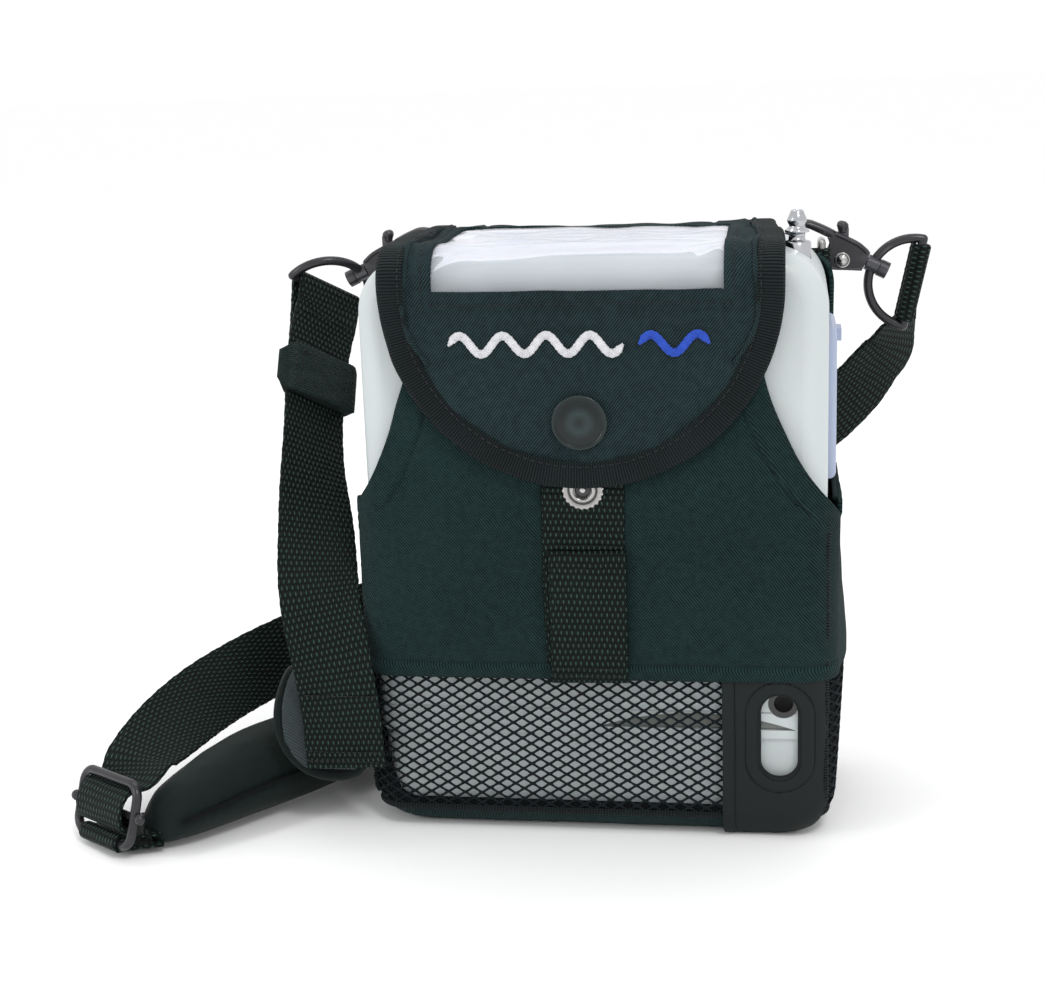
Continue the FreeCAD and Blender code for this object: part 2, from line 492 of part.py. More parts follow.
def hook_body():
    """Hook in its own frame: x from the foot to the nose, y up, z across the plate."""
    t = HOOK_T
    plate = slab([(0, -3.6), (0, 3.4), (4, 4.4), (14, 4.8), (22, 4.8), (22, 2.1), (15.5, 2.1),
                  (14, 0.2), (14, -6.2), (12.6, -8), (10, -7.6)], t)
    arch = cyl(7.3, (22, -2.5, -t / 2), (22, -2.5, t / 2)).cut(cyl(4.6, (22, -2.5, -t), (22, -2.5, t)))
    nose_end = (22 + 12 * math.cos(math.radians(-30)), -2.5 + 12 * math.sin(math.radians(-30)))
    keep = slab([(22, -2.5), nose_end, (36, 10), (22, 10)], t + 1)
    arch = arch.common(keep)
    whole = plate.fuse(arch)
    whole = round_edges(whole.removeSplitter(), 1.1, lambda e: abs(abs(e.CenterOfMass.z) - t / 2) < 0.01
                        and e.BoundBox.ZLength < 0.01 and e.CenterOfMass.x > 0.6)
    gate_slot = box(4.8, 15, -9, 6, -SLOT_T / 2, SLOT_T / 2)
    pin_head_room = box(2.6, 4.9, -2.3, 2.3, -2.1, 2.1)
    pin_bore = cyl(PIN_R + 0.06, (-1, 0, 0), (3, 0, 0))
    whole = whole.cut(gate_slot).cut(pin_head_room).cut(pin_bore)
    rivet = cyl(RIVET_R, (*PIVOT, -t / 2), (*PIVOT, t / 2))
    heads = [cyl(2.2, (*PIVOT, s * t / 2), (*PIVOT, s * (t / 2 + 0.6))) for s in (-1, 1)]
    return whole.fuse([rivet] + heads).removeSplitter()


def gate_body():
    """Sprung gate in the hook's own frame, with its thumb tab on the upper side."""
    t = GATE_T
    arm = slab([(7.7, -5.8), (12, -7.2), (24.2, -7.2), (24.6, -5.0), (14, -4.6), (10.5, -1.2),
                (12.4, 4.6), (14.4, 8.2), (12.6, 9.4), (10.4, 8.0), (8.8, 4.6), (5.6, -0.8)], t)
    hub = cyl(2.9, (*PIVOT, -t / 2), (*PIVOT, t / 2))
    return arm.fuse(hub).cut(cyl(RIVET_R + 0.06, (*PIVOT, -t), (*PIVOT, t))).removeSplitter()


def strap_ring(centre, toward, bar_dir):
    """Black D-ring: half a torus on a straight bar. toward points at the hook."""
    across = (toward - bar_dir * toward.dot(bar_dir)).normalize()
    normal = across.cross(bar_dir)
    torus = Part.makeTorus(RING_R, RING_WIRE, centre, normal)
    half = Part.makeBox(40, 40, 40, V(0, -20, -20))
    m = FreeCAD.Matrix(across.x, bar_dir.x, normal.x, centre.x, across.y, bar_dir.y, normal.y, centre.y,
                       across.z, bar_dir.z, normal.z, centre.z, 0, 0, 0, 1)
    half = half.transformGeometry(m)
    ends = [centre + bar_dir * (s * RING_R) for s in (-1, 1)]
    bar = cyl(RING_WIRE, tuple(ends[0]), tuple(ends[1]))
    balls = [Part.makeSphere(RING_WIRE, p) for p in ends]
    boss = Part.makeCylinder(2.8, 4.4, centre + toward * (RING_R - 2.2), toward)
    hole = Part.makeCylinder(PIN_R, 20, centre + toward * (RING_R - 8), toward)
    return fuse([torus.common(half), bar, boss] + balls).cut(hole)


def make_hooks():
    rings, pins = [], []
    for side, tag in ((-1, "left"), (1, "right")):
        m = hook_place(side)
        save("hook_" + tag, hook_body().transformShape(m))
        save("gate_" + tag, gate_body().transformShape(m))
        save("d_ring_" + tag, d_ring(side))
        toward = V(side * HOOK_DIR[0], 0, HOOK_DIR[1]).normalize()
        foot = V(side * HOOK_BASE[0], HOOK_Y, HOOK_BASE[1])
        centre = foot - toward * (RING_R + 2.6)
        rings.append(strap_ring(centre, toward, V(*RING_BAR[side]).normalize()))
        pin = Part.makeCylinder(PIN_R, 11.4, foot - toward * 7.4, toward)
        head = Part.makeCylinder(1.95, 1.4, foot + toward * 2.9, toward)
        block = Part.makeCylinder(3.0, 3.2, foot - toward * 8.2, toward)
        pins.append(fuse([pin, head, block]))
    save("strap_rings", Part.makeCompound(rings))
    save("swivel_pins", Part.makeCompound(pins))


# ---------------------------------------------------------------- shoulder strap
def frames(stations):
    """Centre, width direction and face direction at each station of a webbing run."""
    centres = [V(*s[:3]) for s in stations]
    out = []
    for k, station in enumerate(stations):
        before, after = centres[max(k - 1, 0)], centres[min(k + 1, len(centres) - 1)]
        t = (after - before).normalize()
        w = V(*station[3:])
        w = (w - t * w.dot(t)).normalize()
        out.append((centres[k], w, t.cross(w)))
    return out


def ribbon(stations, width, thickness):
    wires = []
    for c, w, n in frames(stations):
        a, b = w * (width / 2), n * (thickness / 2)
        corners = [c + a + b, c - a + b, c - a - b, c + a - b]
        wires.append(Part.makePolygon(corners + corners[:1]))
    return Part.makeLoft(wires, True, True)


KEEP_W = (0.607, 0.655, -0.438)
LEFT_RUN = [(-104.0, 44.0, 171.0, *KEEP_W), (-104.0, 36.0, 161.6, *KEEP_W), (-102.0, 5.0, 120.6, *KEEP_W),
            (-97.5, -13.0, 100.0, 0.86, 0.42, -0.28), (-92.0, -33.5, 79.0, 0.98, 0.05, -0.1),
            (-86.8, -42.6, 61.0, 1.0, 0.0, 0.0), (-84.5, -43.7, 44.0, 1.0, 0.0, 0.0),
            (-84.0, -43.7, 23.0, 1.0, 0.0, 0.0)]
RIGHT_RUN = [(104.3, 49.4, 173.0, 0.208, 0.0, 0.978), (105.0, 55.0, 172.4, 0.25, 0.0, 0.97),
             (107.0, 63.0, 165.0, 0.55, 0.70, 0.45), (101.0, 64.0, 150.0, 0.42, 0.82, -0.30),
             (80.0, 61.0, 128.0, 0.42, 0.72, -0.55),
             (50.0, 55.0, 106.0, 0.42, 0.40, -0.80), (10.0, 49.0, 86.0, 0.36, 0.15, -0.92),
             (-40.0, 48.0, 67.0, 0.3, 0.05, -0.95), (-90.0, 46.0, 52.0, 0.28, -0.1, -0.95),
             (-126.0, 34.0, 41.0, 0.32, -0.35, -0.88), (-150.0, 8.0, 31.0, 0.48, -0.55, -0.68),
             (-162.0, -18.0, 22.5, 0.66, -0.60, -0.45), (-164.0, -44.0, 17.5, 0.80, -0.58, -0.05)]
SLIDER_C, SLIDER_W = V(-163.0, -58.5, 14.0), V(0.80, -0.59, 0.06).normalize()
SLIDER_H = V(0.10, 0.30, 0.95)
SLIDER_SIZE = (36.0, 24.0, 1.6, 5.0)   # outside width, height, wire radius, corner radius
KEEPER_AT = 0.42                       # place of the keeper along its straight run


def slider_frame():
    """Axes of the adjuster: width, height and face directions."""
    h = (SLIDER_H - SLIDER_W * SLIDER_H.dot(SLIDER_W)).normalize()
    return SLIDER_W, h, SLIDER_W.cross(h)


def make_slider():
    width, height, wire, corner = SLIDER_SIZE
    w, h, n = slider_frame()
    a, b = width / 2 - wire, height / 2 - wire
    corners = [V(-a, -b, 0), V(a, -b, 0), V(a, b, 0), V(-a, b, 0)]
    edges = []
    for k in range(4):
        p, q, r = corners[k], corners[(k + 1) % 4], corners[(k + 2) % 4]
        d, e = (q - p).normalize(), (r - q).normalize()
        edges.append(Part.LineSegment(p + d * corner, q - d * corner).toShape())
        mid = q + (e - d) * (corner * (1 - math.sqrt(0.5)))
        edges.append(Part.Arc(q - d * corner, mid, q + e * corner).toShape())
    section = Part.Wire(Part.Circle(corners[0] + X * corner, X, wire).toShape())
    frame = Part.Wire(edges).makePipeShell([section], True, False)
    bar_end = a + 3.2
    bar = cyl(1.3, (-bar_end, 0, 0), (bar_end, 0, 0))
    balls = [Part.makeSphere(1.9, V(s * bar_end, 0, 0)) for s in (-1, 1)]
    m = FreeCAD.Matrix(w.x, h.x, n.x, SLIDER_C.x, w.y, h.y, n.y, SLIDER_C.y,
                       w.z, h.z, n.z, SLIDER_C.z, 0, 0, 0, 1)
    save("strap_slider", fuse([frame, bar] + balls).transformShape(m))


def make_keeper():
    """Hook-and-loop wrap: a flat sleeve round the left webbing."""
    a, b = V(*LEFT_RUN[1][:3]), V(*LEFT_RUN[2][:3])
    t = (b - a).normalize()
    w = V(*KEEP_W)
    w = (w - t * w.dot(t)).normalize()
    n = t.cross(w)
    c = a + (b - a) * KEEPER_AT
    m = FreeCAD.Matrix(t.x, w.x, n.x, c.x, t.y, w.y, n.y, c.y, t.z, w.z, n.z, c.z, 0, 0, 0, 1)
    outer = round_edges(box(-9, 9, -18.5, 16.5, -3.2, 3.2), 2.2, along(X))
    inner = box(-20, 20, -WEB_W / 2 - 0.5, WEB_W / 2 + 0.5, -WEB_T / 2 - 0.4, WEB_T / 2 + 0.4)
    save("strap_keeper", outer.cut(inner).transformShape(m))


PAD_LINE = [(-142.0, -57.0, 7.5, 8.0), (-137.0, -48.5, 11.5, 11.5), (-124.0, -31.0, 15.0, 15.0),
            (-107.5, -9.5, 15.2, 15.4), (-97.0, 8.0, 13.5, 15.2), (-92.5, 26.0, 11.5, 13.0)]


def make_pad():
    """Padded sleeve: a soft roll on the floor whose near end folds up and over to the front."""
    wires = []
    for k, (x, y, half, high) in enumerate(PAD_LINE):
        before, after = PAD_LINE[max(k - 1, 0)], PAD_LINE[min(k + 1, len(PAD_LINE) - 1)]
        t = V(after[0] - before[0], after[1] - before[1], 0).normalize()
        side = V(-t.y, t.x, 0)
        wide, n = side * half, side.cross(Z)
        m = FreeCAD.Matrix(wide.x, 0, n.x, x, wide.y, 0, n.y, y, 0, high, n.z, high + 0.1, 0, 0, 0, 1)
        wires.append(Part.Wire(Part.Circle().toShape()).transformGeometry(m))
    roll = Part.makeLoft(wires, True, True)
    tongue = round_edges(box(-108, -73, -41.6, -37.0, 20, 56), 2.2, along(Z))
    over = round_edges(box(-107, -79, -40.8, -6.0, 44, 56), 4.5, along(X))
    drop = box(-107, -79, -14.0, -6.0, 18, 50)
    save("shoulder_pad", fuse([roll, tongue, over, drop]))


def make_strap():
    save("strap_left", ribbon(LEFT_RUN, WEB_W, WEB_T))
    save("strap_right", ribbon(RIGHT_RUN, WEB_W, WEB_T))
    make_keeper()
    make_slider()
    make_pad()


def main():
    os.makedirs("parts", exist_ok=True)
    make_shells()
    make_screws()
    make_battery()
    make_latch()
    make_display()
    make_buttons()
    make_nozzle()
    make_jack()
    make_intake()
    make_compressor()
    make_motor()
    make_fan()
    make_gas_path()
    make_bag()
    make_flap()
    make_ring_band()
    make_hooks()
    make_strap()


main()
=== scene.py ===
import json
import math

import bmesh
import bpy
import numpy as np
from mathutils import Matrix, Vector


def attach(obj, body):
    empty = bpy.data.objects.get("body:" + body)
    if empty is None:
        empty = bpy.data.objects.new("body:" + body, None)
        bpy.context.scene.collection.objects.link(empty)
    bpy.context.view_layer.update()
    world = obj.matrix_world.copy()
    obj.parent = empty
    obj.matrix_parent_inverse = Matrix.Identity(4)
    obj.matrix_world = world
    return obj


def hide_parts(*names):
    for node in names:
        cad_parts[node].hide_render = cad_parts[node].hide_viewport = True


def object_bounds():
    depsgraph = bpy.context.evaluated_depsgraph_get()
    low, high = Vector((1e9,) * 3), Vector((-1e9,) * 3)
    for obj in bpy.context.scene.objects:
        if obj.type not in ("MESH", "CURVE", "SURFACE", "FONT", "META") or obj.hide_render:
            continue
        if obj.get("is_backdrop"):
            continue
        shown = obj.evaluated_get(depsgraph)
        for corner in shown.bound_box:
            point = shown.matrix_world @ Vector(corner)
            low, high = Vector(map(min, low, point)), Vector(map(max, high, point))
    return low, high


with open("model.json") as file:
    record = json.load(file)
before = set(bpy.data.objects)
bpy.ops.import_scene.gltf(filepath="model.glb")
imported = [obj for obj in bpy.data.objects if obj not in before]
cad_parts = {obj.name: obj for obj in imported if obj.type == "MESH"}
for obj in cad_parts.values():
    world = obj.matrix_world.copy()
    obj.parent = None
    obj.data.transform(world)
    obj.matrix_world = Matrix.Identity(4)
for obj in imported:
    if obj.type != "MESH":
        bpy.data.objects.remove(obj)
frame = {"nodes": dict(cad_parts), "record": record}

CAD_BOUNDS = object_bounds()
MM = 0.001
SIDES = ((-1, "left"), (1, "right"))

# ------------------------------------------------------------------ sizes in mm, as in the CAD model
HALF_W, HALF_D, BOT, TOP = 75.0, 34.0, 2.3, 193.0     # the housing's half width and depth, foot and top
R_TOP, R_BOTTOM, R_EDGE = 18.0, 13.0, 8.0             # its corners seen from the front, and its upright edges
SKIN = 2.3                                            # from the housing to the cloth
SEAM_Z, BASE_Z, SIDE_Z = 55.5, 7.0, 113.0             # the net's top and foot, the side panels' top
PATCH_X0 = 41.6                                       # the port patch's left edge
OVAL = (60.0, 36.1, 6.25, 14.4)                       # its opening: middle x and z, radius, half height
STRIP_X, STRIP_W = -2.2, 26.8                         # webbing down the front
STUDS_Z = (119.1, 141.8)
FLAP_X, FLAP_R, FLAP_T = -2.0, 63.0, 1.6              # the flap's middle, its round front and its thickness
FLAP_TOP, FLAP_FRONT, FLAP_BACK, FLAP_LOW = 194.6, -38.9, 35.0, 120.7
WIN_X0, WIN_X1, WIN_Z, WIN_Y = -48.0, 43.0, 183.0, 26.0
FLAT, ARC = HALF_W - R_EDGE, (R_EDGE + SKIN) * math.pi / 2     # the flat front's half, and one rounded edge
EDGE_A = FLAT + ARC
WEB_W, WEB_T = 27.0, 1.45                             # shoulder webbing
FLOOR_GAP = 0.2                                       # soft pieces stay this far above the floor


def vec(*a):
    return np.array(a, float)


def unit(a):
    a = np.asarray(a, float)
    return a / np.maximum(np.linalg.norm(a, axis=-1, keepdims=True), 1e-9)


def same(v, path):
    """One direction for every point of a path."""
    return np.broadcast_to(v, path.shape)


def smoothstep(lo, hi, v):
    t = np.clip((np.asarray(v, float) - lo) / (hi - lo), 0, 1)
    return t * t * (3 - 2 * t)


def bell(v, mid, width):
    return np.exp(-((v - mid) / width) ** 2)


def waves(p, size, seed, n=7):
    """Smooth pseudo-random field, about -1 to 1, from a few sine waves."""
    rng = np.random.default_rng(seed)
    p = np.asarray(p, float)
    out = 0
    for _ in range(n):
        d = rng.normal(size=p.shape[-1])
        d /= np.linalg.norm(d)
        out = out + np.sin((p @ d) * (2 * math.pi / size) * rng.uniform(0.6, 1.5) + rng.uniform(0, 6.3))
    return out / n ** 0.5


# ------------------------------------------------------------------ materials
class Mat:
    """Small helper for node trees."""

    def __init__(self, name, color, rough=0.6, metallic=0.0, **more):
        self.m = bpy.data.materials.new(name)
        self.m.use_nodes = True
        self.nt = self.m.node_tree
        self.b = self.nt.nodes["Principled BSDF"]
        self.color = color
        more.update(Base_Color=(*color, 1), Roughness=rough, Metallic=metallic)
        for k, v in more.items():
            self.b.inputs[k.replace("_", " ")].default_value = v

    def node(self, kind, ins=(), **props):
        n = self.nt.nodes.new("ShaderNode" + kind)
        for k, v in props.items():
            setattr(n, k, v)
        for k, v in dict(ins).items():
            if hasattr(v, "is_output"):
                self.nt.links.new(v, n.inputs[k])
            else:
                n.inputs[k].default_value = v
        return n

    def math(self, op, a, b=0.0, clamp=False):
        return self.node("Math", {0: a, 1: b}, operation=op, use_clamp=clamp).outputs[0]

    def add(self, a, b, clamp=False):
        return self.math("ADD", a, b, clamp)

    def times(self, a, b):
        return self.math("MULTIPLY", a, b)

    def uv(self):
        s = self.node("SeparateXYZ", {0: self.node("TexCoord").outputs["UV"]})
        return s.outputs[0], s.outputs[1]

    def wave(self, value, pitch):
        """Sine of a length in mm with the given pitch, -1 to 1."""
        return self.math("SINE", self.times(value, 2 * math.pi / pitch))

    def noise(self, scale, detail=3.0):
        coord = self.node("TexCoord").outputs["Object"]
        ins = {"Vector": coord, "Scale": scale, "Detail": detail, "Roughness": 0.55}
        return self.node("TexNoise", ins).outputs["Fac"]

    def tint(self, fac, dark, light):
        """Base colour between two shades of itself."""
        n = self.node("Mix", {0: fac}, data_type="RGBA")
        n.inputs[6].default_value = (*[c * dark for c in self.color], 1)
        n.inputs[7].default_value = (*[min(c * light, 1) for c in self.color], 1)
        self.nt.links.new(n.outputs[2], self.b.inputs["Base Color"])

    def roughness(self, fac, lo, hi):
        n = self.node("MapRange", {0: fac, 3: lo, 4: hi})
        self.nt.links.new(n.outputs[0], self.b.inputs["Roughness"])

    def bump(self, height, strength, distance):
        n = self.node("Bump", {"Height": height, "Strength": strength, "Distance": distance})
        self.nt.links.new(n.outputs[0], self.b.inputs["Normal"])


def fabric(name, color, pitch, depth=0.00022, twill=True, rough=0.86, sheen=0.03, fuzz=0.5, gloss=0.08,
           lo=0.15, hi=2.7):
    """Fine woven cloth on UVs in mm: a diagonal twill or a plain weave, with a slub and a faint sheen."""
    k = Mat(name, color, rough, Sheen_Weight=sheen, Sheen_Roughness=0.45, Specular_IOR_Level=gloss)
    u, v = k.uv()
    if twill:
        diag = k.wave(k.add(u, k.times(v, 0.8)), pitch)
        yarn = k.wave(k.math("SUBTRACT", v, k.times(u, 0.35)), pitch * 0.5)
    else:
        diag = k.wave(u, pitch)
        yarn = k.wave(v, pitch)
    weave = k.add(k.times(diag, 0.6), k.times(yarn, 0.3))
    h = k.add(weave, k.times(k.noise(420.0), fuzz * 2))
    k.bump(h, 1.0, depth)
    k.tint(k.add(k.times(h, 0.55), k.times(k.noise(14.0, 4.0), 0.45), True), lo, hi)
    return k.m


def thread(name, color, sheen=0.1, **more):
    """Smooth embroidery thread."""
    return fabric(name, color, 0.5, 0.0001, False, 0.5, sheen, 0.1, 0.4, **more)


def grosgrain(name, color, pitch=0.95):
    """Ribbed binding tape: ribs across the tape, UV u along it."""
    k = Mat(name, color, 0.78, Sheen_Weight=0.04, Sheen_Roughness=0.4, Specular_IOR_Level=0.15)
    u, v = k.uv()
    rib = k.wave(k.add(u, k.times(k.noise(60.0), 0.8)), pitch)
    h = k.add(rib, k.times(k.wave(v, 0.5), 0.25))
    k.bump(h, 1.0, 0.0003)
    k.tint(k.add(k.times(h, 0.35), k.times(k.noise(30.0), 0.6), True), 0.15, 2.6)
    return k.m


def webbing(name, color, along=2.1, across=1.75):
    """Heavy webbing: rows of short yarn beads, every other row shifted by half a bead. The beads' tops are
    painted lighter, a painted highlight for the glints of light on the yarn.
    """
    k = Mat(name, color, 0.6, Sheen_Weight=0.01, Sheen_Roughness=0.4, Specular_IOR_Level=0.1)
    u, v = k.uv()
    slub = k.times(k.noise(130.0, 2.0), 0.9)
    a, b = k.wave(k.add(u, slub), along * 2), k.wave(k.add(v, slub), across)
    bead = k.math("MAXIMUM", k.times(a, b), 0.0)
    row = k.math("ABSOLUTE", a)
    k.bump(k.add(k.math("POWER", bead, 0.6), k.times(row, 0.4)), 1.0, 0.0008)
    # painted highlight: each bead's top is painted up to 22 times lighter than the webbing, standing in for
    # light glinting off the yarn
    top = k.math("POWER", bead, 1.6)
    k.tint(k.add(k.times(top, 0.85), k.times(k.noise(25.0), 0.12), True), 0.2, 22.0)
    return k.m


def plastic(name, color, rough=0.4, grain=900.0, depth=0.00006, **more):
    """Moulded plastic: fine spark-eroded texture, slight unevenness in gloss and tone."""
    k = Mat(name, color, rough, **more)
    n = k.noise(grain, 4.0)
    soft = k.noise(9.0, 2.0)
    k.bump(n, 0.5, depth)
    k.tint(soft, 0.96, 1.03)
    k.roughness(k.add(k.times(n, 0.5), k.times(soft, 0.5)), rough - 0.07, rough + 0.1)
    return k.m


def metal(name, color, rough=0.22, worn=0.0, metallic=1.0, **more):
    """Plated metal: faint ripple and smudges, edges rubbed brighter where worn is above 0."""
    k = Mat(name, color, rough, metallic, **more)
    n = k.noise(260.0, 5.0)
    k.bump(n, 0.35, 0.00008)
    k.roughness(k.noise(45.0, 5.0), rough - 0.08, rough + 0.14)
    edge = k.node("NewGeometry").outputs["Pointiness"]
    rub = k.node("MapRange", {0: edge, 1: 0.52, 2: 0.62}).outputs[0]
    k.tint(k.add(k.times(rub, worn), k.times(n, 0.25), True), 0.75, 1.2 + 3.5 * worn)
    return k.m


def vinyl(name):
    """Clear flexible vinyl: see-through, with a Fresnel gloss and a faint milky tint."""
    k = Mat(name, (0.86, 0.87, 0.92), 0.08, Specular_IOR_Level=0.7)
    clear = k.node("BsdfTransparent", {"Color": (0.985, 0.985, 0.995, 1)})
    gloss = k.node("LayerWeight", {"Blend": 0.3}).outputs["Fresnel"]
    fac = k.add(k.times(gloss, 0.7), k.times(k.noise(35.0), 0.14), True)
    k.bump(k.noise(70.0), 0.7, 0.0004)
    mix = k.node("MixShader", {0: fac, 1: clear.outputs[0], 2: k.b.outputs[0]})
    k.nt.links.new(mix.outputs[0], k.nt.nodes["Material Output"].inputs[0])
    return k.m


M = {
    "bag_fabric": fabric("bag cloth", (0.0072, 0.0180, 0.0178), 1.0),
    "flap_fabric": fabric("flap cloth", (0.0108, 0.0205, 0.0225), 1.0),
    "lining": fabric("lining", (0.003, 0.004, 0.0045), 0.7, twill=False),
    "binding": grosgrain("binding tape", (0.0068, 0.0125, 0.0135)),
    "webbing": webbing("webbing", (0.0022, 0.0042, 0.0036)),
    "bag_mesh": fabric("net yarn", (0.005, 0.008, 0.0095), 0.7, twill=False, rough=0.75),
    "patch_vinyl": plastic("coated cloth", (0.0076, 0.0108, 0.0106), 0.62, 500.0, 0.0001,
                           Specular_IOR_Level=0.2),
    "thread": fabric("thread", (0.0105, 0.012, 0.013), 0.6, twill=False, rough=0.6, gloss=0.25),
    "thread_white": thread("white thread", (0.80, 0.80, 0.83), lo=0.88, hi=1.1),
    "thread_blue": thread("blue thread", (0.018, 0.085, 0.58), lo=0.8, hi=1.2),
    "housing_white": plastic("white housing", (0.515, 0.56, 0.565), 0.36, 700.0, 0.00005,
                             Subsurface_Weight=0.06, Subsurface_Scale=0.004),
    "latch_grey": plastic("latch", (0.155, 0.17, 0.155), 0.45),
    "keypad_blue": plastic("keypad", (0.16, 0.29, 0.55), 0.5, 500.0),
    "grille_blue": plastic("intake cover", (0.34, 0.39, 0.52), 0.35),
    "display_glass": plastic("display window", (0.03, 0.045, 0.055), 0.08, 60.0, 0.00001, Coat_Weight=0.6),
    "jack_black": plastic("socket", (0.008, 0.008, 0.009), 0.22, Coat_Weight=0.4),
    "clear_vinyl": vinyl("clear vinyl"),
    "gunmetal": metal("gunmetal", (0.034, 0.034, 0.038), 0.24, 0.5, 0.55),
    "nickel": metal("nickel", (0.36, 0.355, 0.35), 0.2, 0.3),
    "nozzle_metal": metal("bright metal", (0.5, 0.51, 0.54), 0.14, 0.2),
    "cap_black": metal("cap enamel", (0.0050, 0.0085, 0.0085), 0.2, 0.9, 0.0, Specular_IOR_Level=0.3),
    "keeper_fabric": fabric("hook tape", (0.0075, 0.0135, 0.0125), 0.9, 0.0005, False, 0.95, fuzz=1.6),
    "pad_neoprene": fabric("neoprene", (0.0044, 0.0110, 0.0098), 0.5, 0.0001, rough=0.55, gloss=0.16,
                           lo=0.5, hi=1.6),
    "jersey": fabric("grey jersey", (0.034, 0.046, 0.048), 0.9, rough=0.9, sheen=0.1, lo=0.7, hi=1.5),
    "silicone": plastic("silicone", (0.75, 0.75, 0.72), 0.4, 300.0),
    "cell_wrap": plastic("cell wrap", (0.03, 0.28, 0.14), 0.25, 200.0),
    "contact_metal": metal("contacts", (0.75, 0.56, 0.25), 0.25, 0.2),
    "screw_steel": metal("screws", (0.45, 0.45, 0.47), 0.3, 0.2),
    "inner_plastic": plastic("inner plastic", (0.06, 0.06, 0.065), 0.55),
    "cast_aluminium": metal("cast metal", (0.5, 0.51, 0.53), 0.45, 0.1),
    "circuit_board": plastic("circuit board", (0.015, 0.14, 0.06), 0.35, 120.0, 0.0002),
    "fan_black": plastic("fan", (0.02, 0.02, 0.021), 0.4),
    "filter_foam": plastic("filter foam", (0.05, 0.055, 0.06), 0.95, 260.0, 0.0009),
    "lcd": plastic("lcd", (0.16, 0.19, 0.16), 0.15, 100.0, 0.00001),
    "rotor_steel": metal("rotor", (0.4, 0.4, 0.42), 0.3, 0.1),
    "copper_winding": metal("windings", (0.6, 0.28, 0.12), 0.35, 0.1),
    "mount_rubber": plastic("mounts", (0.02, 0.02, 0.02), 0.8),
    "column_aluminium": metal("columns", (0.6, 0.61, 0.63), 0.35, 0.1),
}

# ------------------------------------------------------------------ mesh helpers
PIECES = []


def mesh(name, verts, faces, mat, body="root", uv=None, slot=None, nodes=()):
    me = bpy.data.meshes.new(name)
    me.from_pydata((np.asarray(verts, float).reshape(-1, 3) * MM).tolist(), [], faces)
    me.polygons.foreach_set("use_smooth", [True] * len(me.polygons))
    if uv is not None:
        set_uv(me, np.asarray(uv, float).reshape(-1, 2))
    me.materials.append(M[mat])
    ob = bpy.data.objects.new(name, me)
    bpy.context.scene.collection.objects.link(ob)
    PIECES.append((ob, body, slot, nodes))
    return ob


def set_uv(me, uv):
    """UVs from one pair per vertex."""
    idx = np.empty(len(me.loops), np.int32)
    me.loops.foreach_get("vertex_index", idx)
    layer = me.uv_layers.get("UVMap") or me.uv_layers.new(name="UVMap")
    layer.data.foreach_set("uv", uv[idx].ravel())


def solid_mesh(name, verts, faces, mat, **kw):
    """A mesh whose faces are turned to point outwards."""
    ob = mesh(name, verts, faces, mat, **kw)
    bm = bmesh.new()
    bm.from_mesh(ob.data)
    bmesh.ops.recalc_face_normals(bm, faces=bm.faces)
    bm.to_mesh(ob.data)
    bm.free()
    return ob


def quads(n, m, close_u=False, close_v=False, keep=None):
    faces = []
    for i in range(n if close_u else n - 1):
        for j in range(m if close_v else m - 1):
            if keep is None or keep[i, j]:
                a, b = i * m + j, ((i + 1) % n) * m + j
                c, d = ((i + 1) % n) * m + (j + 1) % m, i * m + (j + 1) % m
                faces.append((a, b, c, d))
    return faces


def capped(n, m, base=0):
    """Faces of n closed rings of m points each, with a cap at both ends."""
    faces = quads(n, m, close_v=True) + [tuple(range(m)), tuple(range((n - 1) * m, n * m))[::-1]]
    return [tuple(base + i for i in f) for f in faces] if base else faces


def drop_loose(ob):
    """Removes vertices that no face uses."""
    bm = bmesh.new()
    bm.from_mesh(ob.data)
    bmesh.ops.delete(bm, geom=[v for v in bm.verts if not v.link_faces], context="VERTS")
    bm.to_mesh(ob.data)
    bm.free()


def apply_mods(ob):
    dg = bpy.context.evaluated_depsgraph_get()
    new = bpy.data.meshes.new_from_object(ob.evaluated_get(dg))
    old = ob.data
    ob.modifiers.clear()
    ob.data = new
    bpy.data.meshes.remove(old)


def solidify(ob, thickness):
    """Gives a surface its thickness, behind it."""
    s = ob.modifiers.new("thickness", "SOLIDIFY")
    s.thickness, s.offset, s.use_even_offset = thickness * MM, -1.0, False
    apply_mods(ob)
    return ob


def grid(name, points, uv, mat, keep=None, thick=1.4, **kw):
    n, m = points.shape[:2]
    ob = mesh(name, points, quads(n, m, keep=keep), mat, uv=uv, **kw)
    if keep is not None:
        drop_loose(ob)
    return solidify(ob, thick)


def lengths(path):
    return np.concatenate([[0], np.cumsum(np.linalg.norm(np.diff(path, axis=0), axis=1))])


def spline(points, step):
    """Smooth curve through the points (Catmull-Rom), sampled about every step. Extra columns ride along."""
    p = np.asarray(points, float)
    ext = np.vstack([2 * p[0] - p[1], p, 2 * p[-1] - p[-2]])
    out = []
    for k in range(1, len(ext) - 2):
        p0, p1, p2, p3 = ext[k - 1:k + 3]
        count = max(int(np.linalg.norm((p2 - p1)[:3]) / step), 2)
        t = np.linspace(0, 1, count, endpoint=False)[:, None]
        # tangents scaled to the spans' own lengths, so that uneven spans don't overshoot
        d0, d1, d2 = [max(np.linalg.norm((b - a)[:3]), 1e-6) for a, b in ((p0, p1), (p1, p2), (p2, p3))]
        m1 = ((p1 - p0) / d0 * d1 + (p2 - p1) / d1 * d0) / (d0 + d1) * d1
        m2 = ((p2 - p1) / d1 * d2 + (p3 - p2) / d2 * d1) / (d1 + d2) * d1
        out.append((2 * t ** 3 - 3 * t ** 2 + 1) * p1 + (t ** 3 - 2 * t ** 2 + t) * m1
                   + (-2 * t ** 3 + 3 * t ** 2) * p2 + (t ** 3 - t ** 2) * m2)
    out.append(p[-1:])
    return np.vstack(out)


